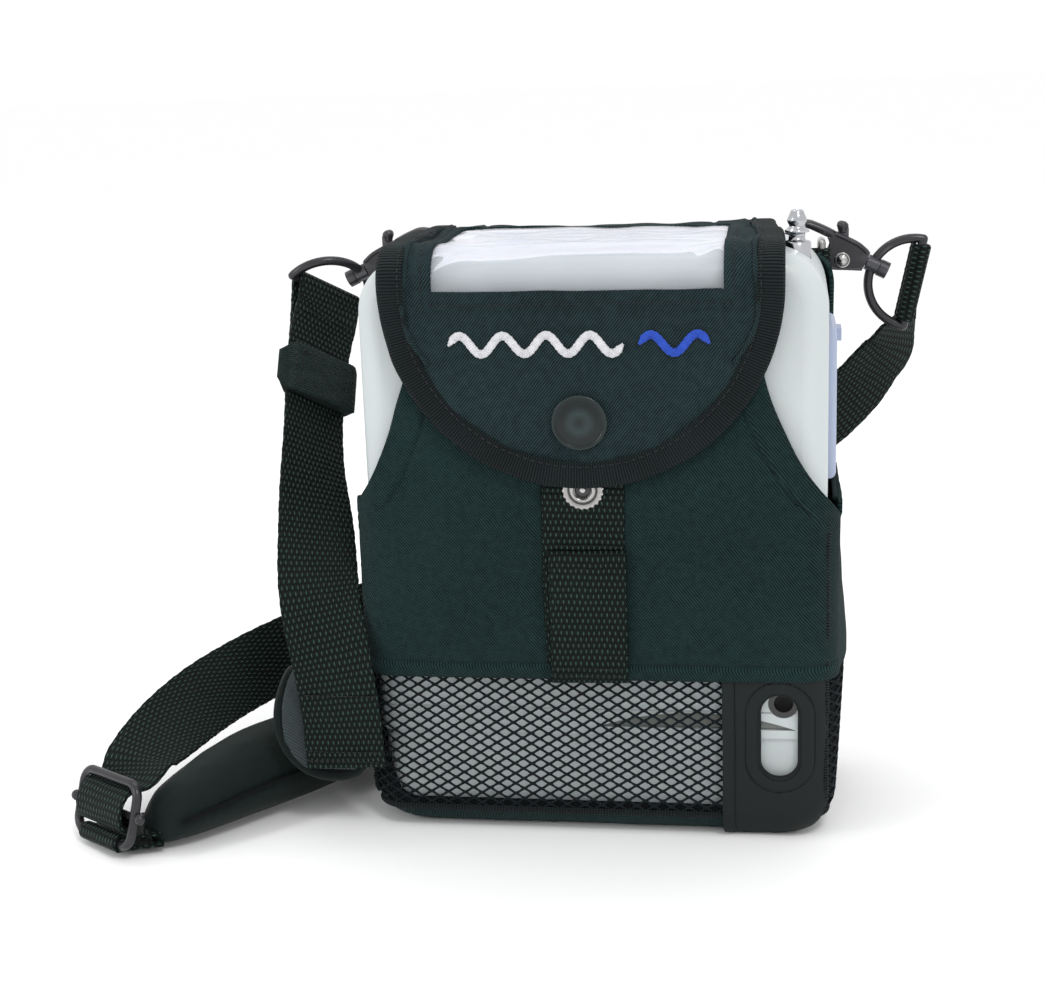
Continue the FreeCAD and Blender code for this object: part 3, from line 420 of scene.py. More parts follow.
def resample(path, step):
    s = lengths(path[:, :3])
    n = max(int(round(s[-1] / step)), 2)
    t = np.linspace(0, s[-1], n + 1)
    return np.stack([np.interp(t, s, path[:, k]) for k in range(path.shape[1])], 1)


def smooth(points, fine, step):
    """Even steps along a smooth curve. Points of two numbers get a third, nought."""
    return resample(spline([(*p, 0.0) if len(p) == 2 else p for p in points], fine), step)


def tangents(path, closed=False):
    if closed:
        return unit(np.roll(path, -1, 0) - np.roll(path, 1, 0))
    return unit(np.gradient(path, axis=0))


def sweep(name, path, across, up, section, mat, closed=False, scale=None, **kw):
    """Sweeps a closed section, points (a, b), along a path: a runs along across, b along up."""
    sec = np.asarray(section, float)
    n, m = len(path), len(sec)
    sc = np.ones((n, 2)) if scale is None else scale
    pts = (path[:, None] + across[:, None] * (sec[None, :, :1] * sc[:, None, :1])
           + up[:, None] * (sec[None, :, 1:] * sc[:, None, 1:]))
    round_section = lengths(np.vstack([sec, sec[:1]]))[:-1]
    uv = np.stack(np.broadcast_arrays(lengths(path)[:, None], round_section[None, :]), -1)
    faces = quads(n, m, True, True) if closed else capped(n, m)
    return solid_mesh(name, pts, faces, mat, uv=uv, **kw)


def flat_section(width, thick, n, edge=0.45):
    """Webbing's section: flat faces and rounded selvages."""
    xs = np.linspace(-width / 2 + edge, width / 2 - edge, n)
    top = [(x, thick / 2) for x in xs]
    turn = (1.0, 0.5, 0.0, -0.5, -1.0)
    right = [(width / 2 - edge * (1 - math.cos(a)), thick / 2 * math.sin(a)) for a in turn]
    bottom = [(x, -thick / 2) for x in xs[::-1]]
    return top + right + bottom + [(-x, -y) for x, y in right]


def ribbon(name, path, width_dir, width, thick, n=14, **kw):
    """Flat webbing along a path, with a real ripple along its faces and uneven edges."""
    t = tangents(path)
    w = unit(width_dir - t * np.sum(width_dir * t, 1, keepdims=True))
    s = lengths(path)
    sc = np.stack([1 + 0.006 * np.sin(s * 0.9) + 0.004 * np.sin(s * 2.3 + 1),
                   1 + 0.07 * np.sin(s * 2 * math.pi / 2.1)], 1)
    return sweep(name, path, w, np.cross(t, w), flat_section(width, thick, n), "webbing", scale=sc,
                 slot="webbing", **kw)


def circle(sides):
    ang = np.linspace(0, 2 * math.pi, sides, endpoint=False)
    return np.stack([np.cos(ang), np.sin(ang)], 1)


def tube(name, path, radius, mat, sides=10, closed=False, **kw):
    """Round tube along a path, on frames that don't twist."""
    t = tangents(path, closed)
    a = np.empty_like(path)
    a[0] = unit(np.cross(t[0], vec(0, 0, 1) if abs(t[0][2]) < 0.9 else vec(1, 0, 0)))
    for k in range(1, len(path)):
        a[k] = unit(a[k - 1] - t[k] * np.dot(a[k - 1], t[k]))
    r = np.broadcast_to(np.asarray(radius, float), (len(path),))
    return sweep(name, path, a, np.cross(t, a), circle(sides), mat, closed, np.stack([r, r], 1), **kw)


BEAD = ((-0.5, -0.35, 0.35), (-0.38, 0.15, 0.85), (-0.15, 0.45, 1.0),
        (0.15, 0.45, 1.0), (0.38, 0.15, 0.85), (0.5, -0.35, 0.35))     # along, lift, size of a stitch's rings


def stitches(name, path, normal, pitch=2.5, length=1.75, radius=0.26, **kw):
    """Row of sewn stitches along a path on a surface: short thread beads with dips between them."""
    s = lengths(path)
    at = np.arange(pitch / 2, s[-1] - pitch / 2, pitch)
    c, nn, tt = [np.stack([np.interp(at, s, rows[:, k]) for k in range(3)], 1)
                 for rows in (path, normal, tangents(path))]
    nn = unit(nn)
    tt = unit(tt - nn * np.sum(tt * nn, 1, keepdims=True))
    ss = np.cross(nn, tt)
    verts, faces = [], []
    for k in range(len(at)):
        faces += capped(6, 6, len(verts))
        for along, lift, size in BEAD:
            for ca, sa in circle(6):
                out = lift * radius * 1.6 - 0.05 + size * radius * sa
                verts.append(c[k] + tt[k] * along * length + nn[k] * out + ss[k] * size * radius * ca * 1.15)
    verts = np.array(verts)
    return solid_mesh(name, verts, faces, "thread", uv=verts[:, :2] + verts[:, 2:], **kw)


def lathe(name, profile, centre, axis, mat, n=48, ripple=None, **kw):
    """Turned part: profile of (radius, height) from one end of the axis to the other."""
    axis = unit(axis)
    u = unit(np.cross(axis, vec(0, 0, 1) if abs(axis[2]) < 0.9 else vec(1, 0, 0)))
    v = np.cross(axis, u)
    ang = np.linspace(0, 2 * math.pi, n, endpoint=False)
    pts = []
    for i, (r, h) in enumerate(profile):
        rr = np.full(n, r) + (0 if ripple is None else ripple(i, ang))
        pts.append(centre + axis * h + (u * np.cos(ang)[:, None] + v * np.sin(ang)[:, None]) * rr[:, None])
    uv = np.stack(np.broadcast_arrays(ang[None] * 5, lengths(np.array(profile))[:, None]), -1)
    return solid_mesh(name, np.array(pts), quads(len(profile), n, close_v=True), mat, uv=uv, **kw)


# ------------------------------------------------------------------ the housing's outside as a surface
def half_sizes(z, off):
    """Half width and half depth of the section at height z, moved out by off."""
    z = np.asarray(z, float)
    w, d = np.full_like(z, HALF_W + off), np.full_like(z, HALF_D + off)
    re = R_EDGE + off
    for edge, r in ((z - (BOT - off), R_BOTTOM + off), ((TOP + off) - z, R_TOP + off)):
        w = w - np.where(edge < r, r - np.sqrt(np.clip(r * r - (r - edge) ** 2, 0, None)), 0)
        d = d - np.where(edge < re, re - np.sqrt(np.clip(re * re - (re - edge) ** 2, 0, None)), 0)
    return w, d


def flat_half(z):
    """Half width of the flat front at height z, before its edges bend back."""
    return half_sizes(z, SKIN)[0] - (R_EDGE + SKIN)


def wrap(u, z, off, back=False):
    """Point of the section at height z. |u| runs 0-1 over the flat front from its middle, 1-2 round the
    corner, 2-3 along the side, 3-4 round the rear corner, 4-5 over the back."""
    u, z = np.broadcast_arrays(np.asarray(u, float), np.asarray(z, float))
    w, d = half_sizes(z, off)
    r = np.minimum(R_EDGE + off, np.minimum(w, d))
    s = np.abs(u)
    k = np.clip(np.floor(s), 0, 4)
    f = s - k
    ang = f * math.pi / 2
    part = [k == 0, k == 1, k == 2, k == 3]
    wide, deep = w - r, d - r
    x = np.select(part, [f * wide, wide + r * np.sin(ang), w, wide + r * np.cos(ang)], (1 - f) * wide)
    y = np.select(part, [-d, -deep - r * np.cos(ang), -deep + f * 2 * deep, deep + r * np.sin(ang)], d)
    return np.stack([np.sign(u) * x, -y if back else y, z + 0 * x], -1)


def wrap_n(u, z, off, back=False):
    return unit(wrap(u, z, off + 1, back) - wrap(u, z, off - 1, back) + 1e-9)


def u_of(x):
    """u of a place, from its distance along the surface from the front's middle, at straight heights."""
    x = np.asarray(x, float)
    s = np.abs(x)
    side = 2 * (HALF_D - R_EDGE)
    edges = [0, FLAT, EDGE_A, EDGE_A + side, EDGE_A + side + ARC]
    return np.sign(x) * np.interp(s, edges, [0, 1, 2, 3, 4])


def sewn(name, u, z, lift, back=False, **kw):
    """Stitches along a line of the bag, lift above the cloth's inner face."""
    stitches(name, wrap(u, z, SKIN + lift, back), wrap_n(u, z, SKIN, back), **kw)


# ------------------------------------------------------------------ bag
def panel(name, lo, hi, z, cols, off, mat, seed, back=False, amp=0.45, thick=1.4, slot="bag_fabric",
          extra=None, **kw):
    """Cloth panel on the housing's surface: one row per height z, from lo to hi round it."""
    lo, hi, z = [v[:, None] for v in np.broadcast_arrays(lo, hi, z)]
    u = lo + (hi - lo) * np.linspace(0, 1, cols)
    z = np.broadcast_to(z, u.shape)
    p = wrap(u, z, off, back)
    lift = amp * (0.6 * waves(p, 38.0, seed) + 0.4 * waves(p, 15.0, seed + 1)) * 0.6 + amp * 0.5
    if extra is not None:
        lift = lift + extra(u, z)
    p = p + wrap_n(u, z, off, back) * lift[..., None]
    # the weave runs straight, so each row of it starts where the row's edge lies, and not at nought
    edge = np.abs(u[:, :1])
    start = np.sign(u[:, :1]) * (np.minimum(edge, 1) * FLAT + np.maximum(edge - 1, 0) * ARC)
    run = start + np.cumsum(np.linalg.norm(np.diff(p, axis=1, prepend=p[:, :1]), axis=2), 1)
    grid(name, p, np.stack([run, z], -1), mat, thick=thick, slot=slot, **kw)


SHOULDER_LINE = {
    -1: [(83.2, 100), (83.2, 108), (77.5, 113.5), (72.5, 119.5), (68.0, 128.5), (64.3, 137.5), (61.5, 146.4),
         (58.5, 155), (55.0, 172)],
    1: [(83.2, 99), (83.2, 107), (77.5, 112.5), (72.2, 118.2), (65.8, 127.7), (61.2, 137.1), (56.8, 147.7),
        (54.5, 156), (52.0, 172)]}


def shoulder(z, side):
    """How far the front panel reaches to one side at height z: full width, then in along the shoulder."""
    line = spline([(a, b, 0) for a, b in SHOULDER_LINE[side]], 0.5)
    return np.interp(z, line[:, 1], line[:, 0])


def front_relief(u, z):
    """Hems, seam, pulls and swelling of the front panel, and the dip that the webbing presses into it."""
    a = np.abs(u) * FLAT
    reach = np.where(u < 0, shoulder(z, -1), shoulder(z, 1))
    edge = reach - np.where(np.abs(u) <= 1, a, FLAT + (np.abs(u) - 1) * ARC)
    up = smoothstep(107, 116, z)
    hem = (0.45 * (1 - smoothstep(8.2, 9.6, edge)) - 0.35 * bell(edge, 9.6, 0.8)) * up
    seam = 0.5 * (1 - smoothstep(3.0, 5.0, z - SEAM_Z)) - 0.35 * bell(z, SEAM_Z + 5, 0.9)
    pull = 0.35 * np.sin(z * 0.21 + u * 2.0) * bell(np.abs(u), 0.28, 0.10)
    bulge = 0.8 * bell(z, 85, 26) * (1 - np.clip(np.abs(u), 0, 1) ** 2)
    press = -0.75 * (1 - smoothstep(13.0, 17.0, np.abs(u * FLAT - STRIP_X))) * smoothstep(60, 66, z)
    slack = 0.8 * bell(a, 42, 16) * bell(z, 66, 9)
    return hem + seam + pull + bulge + press + slack


def front_panel():
    z = np.concatenate([np.linspace(SEAM_Z, 108, 60), np.linspace(108.8, 170, 84)])
    panel("front_panel", -u_of(shoulder(z, -1)), u_of(shoulder(z, 1)), z, 150, SKIN, "bag_fabric", 3,
          nodes=("bag_front_panel",), extra=front_relief)
    # the shoulders' turned and stitched edges, and the seam over the net
    zz = np.linspace(110, 160, 70)
    for s, tag in SIDES:
        reach = shoulder(zz, s)
        sewn("shoulder_stitches_" + tag, u_of(s * (reach - 7.6)), zz, 1.15, pitch=2.3, length=1.6,
             radius=0.22)
        tube("shoulder_edge_" + tag, wrap(u_of(s * (reach - 0.4)), zz, SKIN + 0.55), 0.85, "bag_fabric")
    xs = np.linspace(-EDGE_A + 1, EDGE_A - 1, 260)
    sewn("net_seam_stitches", u_of(xs), SEAM_Z + 2.6, 1.15, pitch=2.2, length=1.5, radius=0.2)
    tube("net_seam_fold", wrap(u_of(xs), SEAM_Z, SKIN + 0.7), 0.8 + 0.05 * np.sin(xs * 1.7), "bag_fabric")


PIPING_U = {-1: 2.0, 1: 1.5}     # where the piped seam runs down each front corner
REAR_U = 2.96                    # where the sides meet the back
PUFF = {-1: 0.0, 1: 3.2}         # how far each side swells out at the top of its net


def side_panels():
    z = np.linspace(SEAM_Z, SIDE_Z, 60)
    zz = np.linspace(9.0, SIDE_Z + 1, 150)
    uu = np.linspace(2.05, 2.94, 60)
    for s, tag in SIDES:
        def relief(u, z, puff=PUFF[s]):
            across = 1 - (2 * (np.abs(u) - 2.5)) ** 2
            swell = 0.5 * bell(z, 80, 20) + puff * bell(z, SEAM_Z, 24)
            return 0.5 * (1 - smoothstep(4.0, 5.4, SIDE_Z - z)) + swell * across
        panel("side_panel_" + tag, *sorted((s * 2.0, s * REAR_U)), z, 44, SKIN, "bag_fabric", 11 + s,
              nodes=("bag_%s_side" % tag,), extra=relief)
        # piped seam where the side meets the front, and the plainer one at the rear
        for name, at, r in (("front_piping_", PIPING_U[s], 1.25), ("rear_piping_", REAR_U, 1.2)):
            wander = 0.25 * np.sin(zz * 0.35 + s) * np.sin(zz * 0.11)
            c = wrap(s * at, zz, SKIN + 0.55) + wrap_n(s * at, zz, SKIN) * wander[:, None]
            tube(name + tag, c, r + 0.10 * np.sin(zz * 1.9), "binding", slot="bag_fabric")
        sewn("side_stitches_" + tag, s * uu, SIDE_Z - 3.4, 1.0, pitch=2.3, length=1.6, radius=0.22)
        tube("side_edge_" + tag, wrap(s * uu, SIDE_Z, SKIN + 0.2), 0.85, "bag_fabric")


def back_panel():
    z = np.concatenate([np.linspace(BASE_Z, 170, 90), np.linspace(171, 195.0, 40)])
    reach = np.where(z <= 182, 2 + 2 / 99, 2.04 - 1.2 * smoothstep(181, 190, z))

    def relief(u, z):
        return 0.35 * bell(z, 60, 1.2) + 0.5 * bell(z, 110, 45) * (1 - np.clip(np.abs(u), 0, 1) ** 2)
    panel("back_panel", -reach, reach, np.minimum(z, TOP + SKIN - 0.02), 140, SKIN, "bag_fabric", 29,
          back=True, nodes=("bag_back_panel",), extra=relief)
    for z, tag in ((57.6, "low"), (62.4, "high")):
        sewn("back_stitches_" + tag, np.linspace(-1.9, 1.9, 150), z, 1.05, True, pitch=2.6, length=1.8,
             radius=0.22)


NET_Z = np.arange(BASE_Z + 0.4, SEAM_Z - 0.4, 1.8)     # heights of the net's strands


def net(name, rows, pitch=5.8, radius=0.40, nodes=()):
    """Knitted net: zigzag strands that touch their neighbours. rows gives, per strand, a function from the
    distance along it, and up it, to a point and normal, and its start and end."""
    verts, faces = [], []
    ca, sa = circle(6).T[:, None, :, None]
    for j, (at, lo, hi) in enumerate(rows):
        s = np.arange(lo, hi + 0.01, pitch / 10)
        zig = np.arcsin(0.94 * np.sin(2 * math.pi * s / pitch)) / 1.2226
        p, n = at(s, (0.86 if j % 2 else -0.86) * zig)
        side = np.cross(n, tangents(p))
        fat = (radius * (1 + 0.28 * np.abs(zig) + 0.08 * np.sin(s * 3.1 + j)))[:, None, None]
        faces += capped(len(s), 6, 6 * sum(len(v) for v in verts))
        verts.append(p[:, None] + side[:, None] * ca * fat + n[:, None] * sa * fat * 0.7)
    v = np.vstack(verts).reshape(-1, 3)
    uv = np.stack([v[:, 0] + v[:, 1], v[:, 2]], 1)
    solid_mesh(name, v, faces, "bag_mesh", uv=uv, slot="bag_mesh", nodes=nodes)


def lining(name, lo, hi, z, cols, off, seed, amp=0.1, **kw):
    """Black lining behind a net."""
    panel(name, lo, hi, z, cols, off, "lining", seed, amp=amp, thick=0.5, slot="bag_mesh", **kw)


def front_net():
    rows = []
    for z in NET_Z:
        def at(s, dz, z=z):
            zz = z + dz + 0.25 * np.sin(s * 0.05 + 1.0) * math.sin(z * 0.1)
            flat = flat_half(zz)
            u = np.where(np.abs(s) < flat, s / flat, np.sign(s) * (1 + (np.abs(s) - flat) / ARC))
            sag = 0.3 + 0.5 * bell(s, -10, 45) * bell(zz, 30, 18)
            n = wrap_n(u, zz, SKIN)
            return wrap(u, zz, SKIN - 0.5) + n * sag[:, None], n
        rows.append((at, 0.2 - flat_half(z) - ARC, PATCH_X0 + 0.5))
    net("front_net", rows, nodes=("bag_front_mesh",))
    z = np.linspace(BASE_Z, SEAM_Z, 60)
    edge = (1.55 - 0.35 * (1 - smoothstep(22, 38, z)) - 0.26 * (1 - smoothstep(9, 24, z))
            - 0.05 * (1 - smoothstep(7, 13, z)))
    lining("left_lining", -2.0, -edge, z, 24, SKIN - 1.3, 41)
    lining("lower_lining", -1.02, 0.62, np.linspace(BASE_Z - 0.2, 11.2, 10), 90, SKIN - 1.3, 43, 0.15)


def net_puff(u, z):
    """How far a side net swells, as a share: none at its edges and its foot, most at the seam over it."""
    across = 1 - np.clip(np.abs(2 * (u - 2.3)) / 1.5, 0, 1) ** 2
    return across * np.clip((z - BASE_Z) / (SEAM_Z - BASE_Z), 0, 1) ** 0.8


def side_nets():
    uu = np.linspace(2.0, REAR_U, 40)
    for s, tag in SIDES:
        puff = PUFF[s]
        rows = []
        for z in NET_Z:
            def at(t, dz, z=z, s=s, puff=puff):
                u = s * (2 + np.where(t < 0, t / ARC, t / 52.0))
                n = wrap_n(u, z + dz, SKIN)
                out = 0.15 + puff * net_puff(np.abs(u), z + dz)
                return wrap(u, z + dz, SKIN + 0.05) + n * out[:, None], n
            rows.append((at, 0.3 - (2 - PIPING_U[s]) * ARC, 49.5))
        net("side_net_" + tag, rows, radius=0.5, nodes=("bag_side_meshes",) if s < 0 else ())
        lining("side_lining_" + tag, *sorted((s * PIPING_U[s], s * REAR_U)),
               np.linspace(BASE_Z, SEAM_Z, 30), 30, SKIN - 0.75, 51 + s,
               extra=lambda u, z: puff * net_puff(np.abs(u), z))
        swell = puff * (1 - (2 * (uu - 2.5)) ** 2)
        seam = wrap(s * uu, SEAM_Z, SKIN + 0.6) + wrap_n(s * uu, SEAM_Z, SKIN) * swell[:, None]
        tube("side_seam_" + tag, seam, 0.85, "bag_fabric")


def bottom():
    """The base: the lowest band of the bag turned under, with a bound edge round it."""
    u = np.concatenate([np.linspace(k, k + 1, 9)[:-1] for k in range(-5, 5)])
    rings = [wrap(u, z, SKIN) for z in (BASE_Z + 1.0, 6.0, 4.6, 3.4, 2.4, 1.6, 0.9, 0.45, 0.15, 0.02)]
    last = rings[-1]
    for f in (0.93, 0.8, 0.55, 0.25, 0.0):
        rings.append(np.column_stack([last[:, :2] * f, np.full(len(u), 0.27 - 0.25 * f)]))
    p = np.array(rings)
    p[:7] += unit(p[:7] * vec(1, 1, 0)) * (0.25 * waves(p[:7], 30.0, 61))[..., None]
    uv = np.stack(np.broadcast_arrays(lengths(rings[0])[None], lengths(p[:, 0])[:, None]), -1)
    ob = solid_mesh("bag_base", p, quads(*p.shape[:2], close_v=True), "bag_fabric", uv=uv, slot="bag_fabric",
                    nodes=("bag_bottom",))
    solidify(ob, 1.2)
    tube("base_binding", wrap(u, BASE_Z + 0.8, SKIN + 0.25), 1.05, "binding", closed=True, slot="bag_fabric")


RIM = (          # section of the port's raised rim
    (-0.15, -1.5), (-0.35, -0.2), (0.1, 0.75), (1.2, 1.05), (2.6, 0.95), (3.4, 0.5), (3.6, 0.0),
    (2.5, -0.3), (1.0, -1.4))


def port_patch():
    """Coated patch with an oval opening, a raised rim round it and a stitched fold at its left edge."""
    ox, oz, radius, half = OVAL
    straight = half - radius
    z = np.linspace(1.5, SEAM_Z + 0.5, 90)[:, None]
    flat = flat_half(z)
    x_end = flat + (PIPING_U[1] + 0.02 - 1) * ARC
    s = PATCH_X0 + (x_end - PATCH_X0) * np.linspace(0, 1, 90)
    u = np.where(s < flat, s / flat, 1 + (s - flat) / ARC)
    z = np.broadcast_to(z, u.shape)
    p = wrap(u, z, SKIN + 0.2)
    d = np.hypot(p[..., 0] - ox, np.clip(np.abs(p[..., 2] - oz) - straight, 0, None)) - radius
    lift = 0.3 * (1 - smoothstep(3.4, 4.4, d)) - 0.35 * bell(d, 4.6, 0.55) + 0.15 * waves(p, 16.0, 71)
    lift += 0.5 * (1 - smoothstep(2.6, 3.6, s - PATCH_X0)) - 0.3 * bell(s, PATCH_X0 + 4.0, 0.6)
    p = p + wrap_n(u, z, SKIN) * lift[..., None]
    middle = (d[:-1, :-1] + d[1:, :-1] + d[:-1, 1:] + d[1:, 1:]) / 4
    grid("port_patch_cloth", p, np.stack([s, z], -1), "patch_vinyl", keep=middle > 0.7, thick=1.3,
         slot="patch_vinyl", nodes=("port_patch",))
    # rim round the opening
    a = np.linspace(0, math.pi, 24)
    loop = []
    for turn, side in ((0, 1), (math.pi, -1)):
        loop += [(ox + radius * math.cos(t), oz + side * straight + radius * math.sin(t)) for t in a + turn]
        loop += [(ox - side * radius, oz + side * straight * (1 - k / 6)) for k in range(1, 12)]
    loop = np.array(loop)
    uu = loop[:, 0] / flat_half(loop[:, 1])
    base = wrap(uu, loop[:, 1], SKIN)
    nn = wrap_n(uu, loop[:, 1], SKIN)
    out = -np.cross(nn, tangents(base, True))
    out *= np.sign(np.sum(out * (base - vec(ox, -HALF_D - SKIN, oz)), 1, keepdims=True) + 1e-9)
    sweep("port_rim", base, out, nn, RIM, "patch_vinyl", closed=True, slot="patch_vinyl")
    big = base + out * 2.5 + nn * 1.05
    stitches("port_stitches", np.vstack([big, big[:1]]), np.vstack([nn, nn[:1]]), pitch=2.1, length=1.4,
             radius=0.18, slot="patch_vinyl")
    z = np.linspace(3, SEAM_Z - 1, 60)
    stitches("patch_stitches_left", wrap((PATCH_X0 + 1.8) / flat_half(z), z, SKIN + 0.95),
             wrap_n(0.6, z, SKIN), pitch=2.2, length=1.5, radius=0.2)


def front_stitches(name, x0, x1, count, y, z, pitch, **kw):
    """A level row of stitches that faces the front."""
    xs = np.linspace(x0, x1, count)
    q = np.stack(np.broadcast_arrays(xs, y, z), 1)
    stitches(name, q, same(vec(0, -1, 0), q), pitch=pitch, slot="webbing", **kw)


STUD = ((0.0, 0.15), (1.7, 0.15), (2.5, 0.2), (2.9, 0.9), (3.3, 1.35), (3.8, 1.35), (4.2, 0.75), (4.6, 0.45),
        (5.0, 0.7), (5.8, 0.75), (6.5, 0.45), (6.7, 0.0), (6.2, -0.3), (0.0, -0.4))
STUD_PARTS = (("well", "jack_black", 40, ((0.0, 0.3), (1.2, 0.3), (2.75, 0.38), (2.8, 0.2), (2.7, 0.1))),
              ("groove", "jack_black", 64, ((3.95, 0.9), (4.3, 0.85), (4.75, 0.75), (4.9, 0.6), (4.3, 0.4))),
              ("post", "nickel", 32, ((0.0, 1.0), (0.6, 0.98), (0.95, 0.8), (1.1, 0.5), (1.1, 0.1))))


def stud_teeth(ring, ang):
    """The stud's outer flange is toothed."""
    return 0.22 * np.sin(ang * 22) * (ring in (9, 10, 11))


def front_strip():
    """Webbing down the front: a long layer with the studs, and a folded layer over its lower part."""
    y0 = -(HALF_D + SKIN)
    z = np.linspace(153, SEAM_Z - 1.5, 200)
    path = np.stack([STRIP_X + 0.35 * np.sin(z * 0.05), y0 - 0.9 - 0.8 * bell(z, 85, 26), z], 1)
    ribbon("front_strip", path, same(vec(1, 0, 0), path), STRIP_W, 1.3, nodes=("front_webbing",))
    x = STRIP_X + 1.0
    points = [(x, y0 - 2.15, 96.0), (x, y0 - 3.2, 98.6), (x, y0 - 4.1, 97.4)]
    points += [(x, y0 - 3.1 - 0.5 * bell(zz, 85, 26), zz) for zz in (94, 88, 80, 72, 64, 58, 55)]
    path = smooth(points, 0.8, 0.7)
    ribbon("front_strip_fold", path, same(vec(1, 0, 0.02), path), STRIP_W - 1.6, 1.2)
    for k, z in enumerate((57.0, 59.4)):
        front_stitches("strip_stitches_%d" % k, STRIP_X - 11.5, STRIP_X + 13, 40, y0 - 3.9, z, 2.0,
                       length=1.5, radius=0.22)
    for k, z in enumerate(STUDS_Z):
        place = vec(STRIP_X, y0 - 1.55, z), vec(0, -1, 0)
        lathe("snap_stud_%d" % k, STUD, *place, "nickel", 176, stud_teeth, slot="nickel",
              nodes=("snap_studs",) if k == 0 else ())
        for part, mat, n, profile in STUD_PARTS:
            lathe("snap_%s_%d" % (part, k), profile, *place, mat, n, slot="nickel")


# ------------------------------------------------------------------ flap
LIN_TOP, R_BEND = 63.45, 10.45                 # length of its flat top, and the bend over the front edge
Q_FRONT = LIN_TOP + R_BEND * math.pi / 2       # q is the distance along the flap from its rear edge
Z_FRONT = FLAP_TOP - R_BEND
ROUND_Z = FLAP_LOW + FLAP_R                    # centre of its round front
Q_WIN, Q_REAR = Q_FRONT + Z_FRONT - WIN_Z, FLAP_BACK - WIN_Y


def flap_at(x, q, off, wrinkle=1.0):
    """Point of the flap, off out from its inner face."""
    x, q = np.broadcast_arrays(np.asarray(x, float), np.asarray(q, float))
    base = np.stack([x, q], -1)
    side = np.clip((np.abs(x - FLAP_X) - 42) / 20, 0, 1)
    lift = 0.45 * waves(base, 46.0, 81) + 0.22 * waves(base, 17.0, 82) + 0.5
    lift = lift + 0.5 * side * np.sin(q * 0.19 + 0.4 * x) + 0.6 * bell(q, 118, 20) * (1 - side)
    off = off + np.maximum(lift * wrinkle, 0.0)
    ang = np.clip((q - LIN_TOP) / R_BEND, 0, math.pi / 2)
    y = np.where(q < LIN_TOP, FLAP_BACK - q, FLAP_FRONT + R_BEND - (R_BEND + off) * np.sin(ang))
    down = Z_FRONT + (R_BEND + off) * np.cos(ang) - np.clip(q - Q_FRONT, 0, None)
    return np.stack([x, y, np.where(q < LIN_TOP, FLAP_TOP + off, down)], -1)


def flap_n(x, q):
    return unit(flap_at(x, q, 3.0, 0) - flap_at(x, q, 0.0, 0))


def flap_half(q):
    """Half width of the flap's straight part."""
    return 59.5 + 3.5 * smoothstep(0, 60, q)


def flap_outline():
    """(x, q) round the flap from its rear left corner, over the front, to its rear right corner."""
    qs = np.linspace(0, Q_FRONT - 1, 44)
    left = [(FLAP_X - flap_half(q), q, 0.0) for q in qs]
    front = [(FLAP_X + FLAP_R * math.cos(t), Q_FRONT + Z_FRONT - ROUND_Z - FLAP_R * math.sin(t), 0.0)
             for t in np.linspace(math.pi, 2 * math.pi, 120)]
    right = [(FLAP_X + flap_half(q), q, 0.0) for q in qs[::-1]]
    return resample(np.array(left + front + right), 1.1)[:, :2].T


def flap_cloth():
    x, q = np.meshgrid(np.unique(np.concatenate([np.arange(-65.0, 61.1, 0.9), [WIN_X0, WIN_X1]])),
                       np.unique(np.concatenate([np.arange(0.0, 144.0, 0.9), [Q_REAR, Q_WIN]])))
    inside = np.where(q < Q_FRONT, flap_half(q) - np.abs(x - FLAP_X),
                      FLAP_R - np.hypot(x - FLAP_X, ROUND_Z - (Z_FRONT - (q - Q_FRONT))))
    # the window's hem is turned under at its sides and its front edge only
    past, beside = 50 * (q > Q_WIN + 6), 50 * ((x < WIN_X0 - 6) | (x > WIN_X1 + 6))
    hem = np.minimum(np.minimum(np.abs(x - WIN_X0), np.abs(x - WIN_X1)) + past, np.abs(q - Q_WIN) + beside)
    lift = 0.5 * (1 - smoothstep(4.6, 5.6, hem)) - 0.3 * bell(hem, 6.0, 0.6)
    gap = 0.1
    opening = ((x[:-1, :-1] + gap >= WIN_X0) & (x[:-1, 1:] - gap <= WIN_X1)
               & (q[:-1, :-1] + gap >= Q_REAR) & (q[1:, :-1] - gap <= Q_WIN))
    least = np.minimum.reduce([inside[:-1, :-1], inside[1:, 1:], inside[1:, :-1], inside[:-1, 1:]])
    grid("flap_cloth", flap_at(x, q, FLAP_T - 0.25 + lift), np.stack([x, q], -1), "flap_fabric",
         keep=(least > 0.9) & ~opening, thick=1.3, body="flap", slot="bag_fabric", nodes=("bag_flap",))


TAPE = (          # section of the binding, folded round the flap's edge
    (8.0, 0.75), (8.1, 1.25), (7.4, 1.5), (4.0, 1.6), (1.2, 1.55), (0.2, 1.25), (-0.45, 0.55),
    (-0.55, 0.0), (-0.45, -0.6), (0.2, -1.1), (1.2, -1.3), (4.0, -1.35), (7.4, -1.3), (8.0, -0.85),
    (7.6, -0.6), (3.0, -0.6), (3.0, 0.6), (7.6, 0.6))


def flap_binding():
    """Tape round the flap's edge, sewn on along its inner side."""
    x, q = flap_outline()
    mid, nn = flap_at(x, q, FLAP_T / 2), flap_n(x, q)
    inward = np.cross(nn, tangents(mid))
    centre = flap_at(np.full(len(x), FLAP_X), np.clip(q, 5, 120), 0.8)
    inward *= np.sign(np.sum(inward * (centre - mid), 1, keepdims=True))
    s = lengths(mid)
    sc = np.stack([1 + 0.02 * np.sin(s * 0.23) + 0.012 * np.sin(s * 0.71), 1 + 0.05 * np.sin(s * 0.4)], 1)
    sweep("flap_binding", mid, inward, nn, TAPE, "binding", scale=sc, body="flap", slot="bag_fabric")
    stitches("flap_stitches", mid + inward * 6.7 + nn * 1.55, nn, radius=0.24, body="flap", slot="bag_fabric")


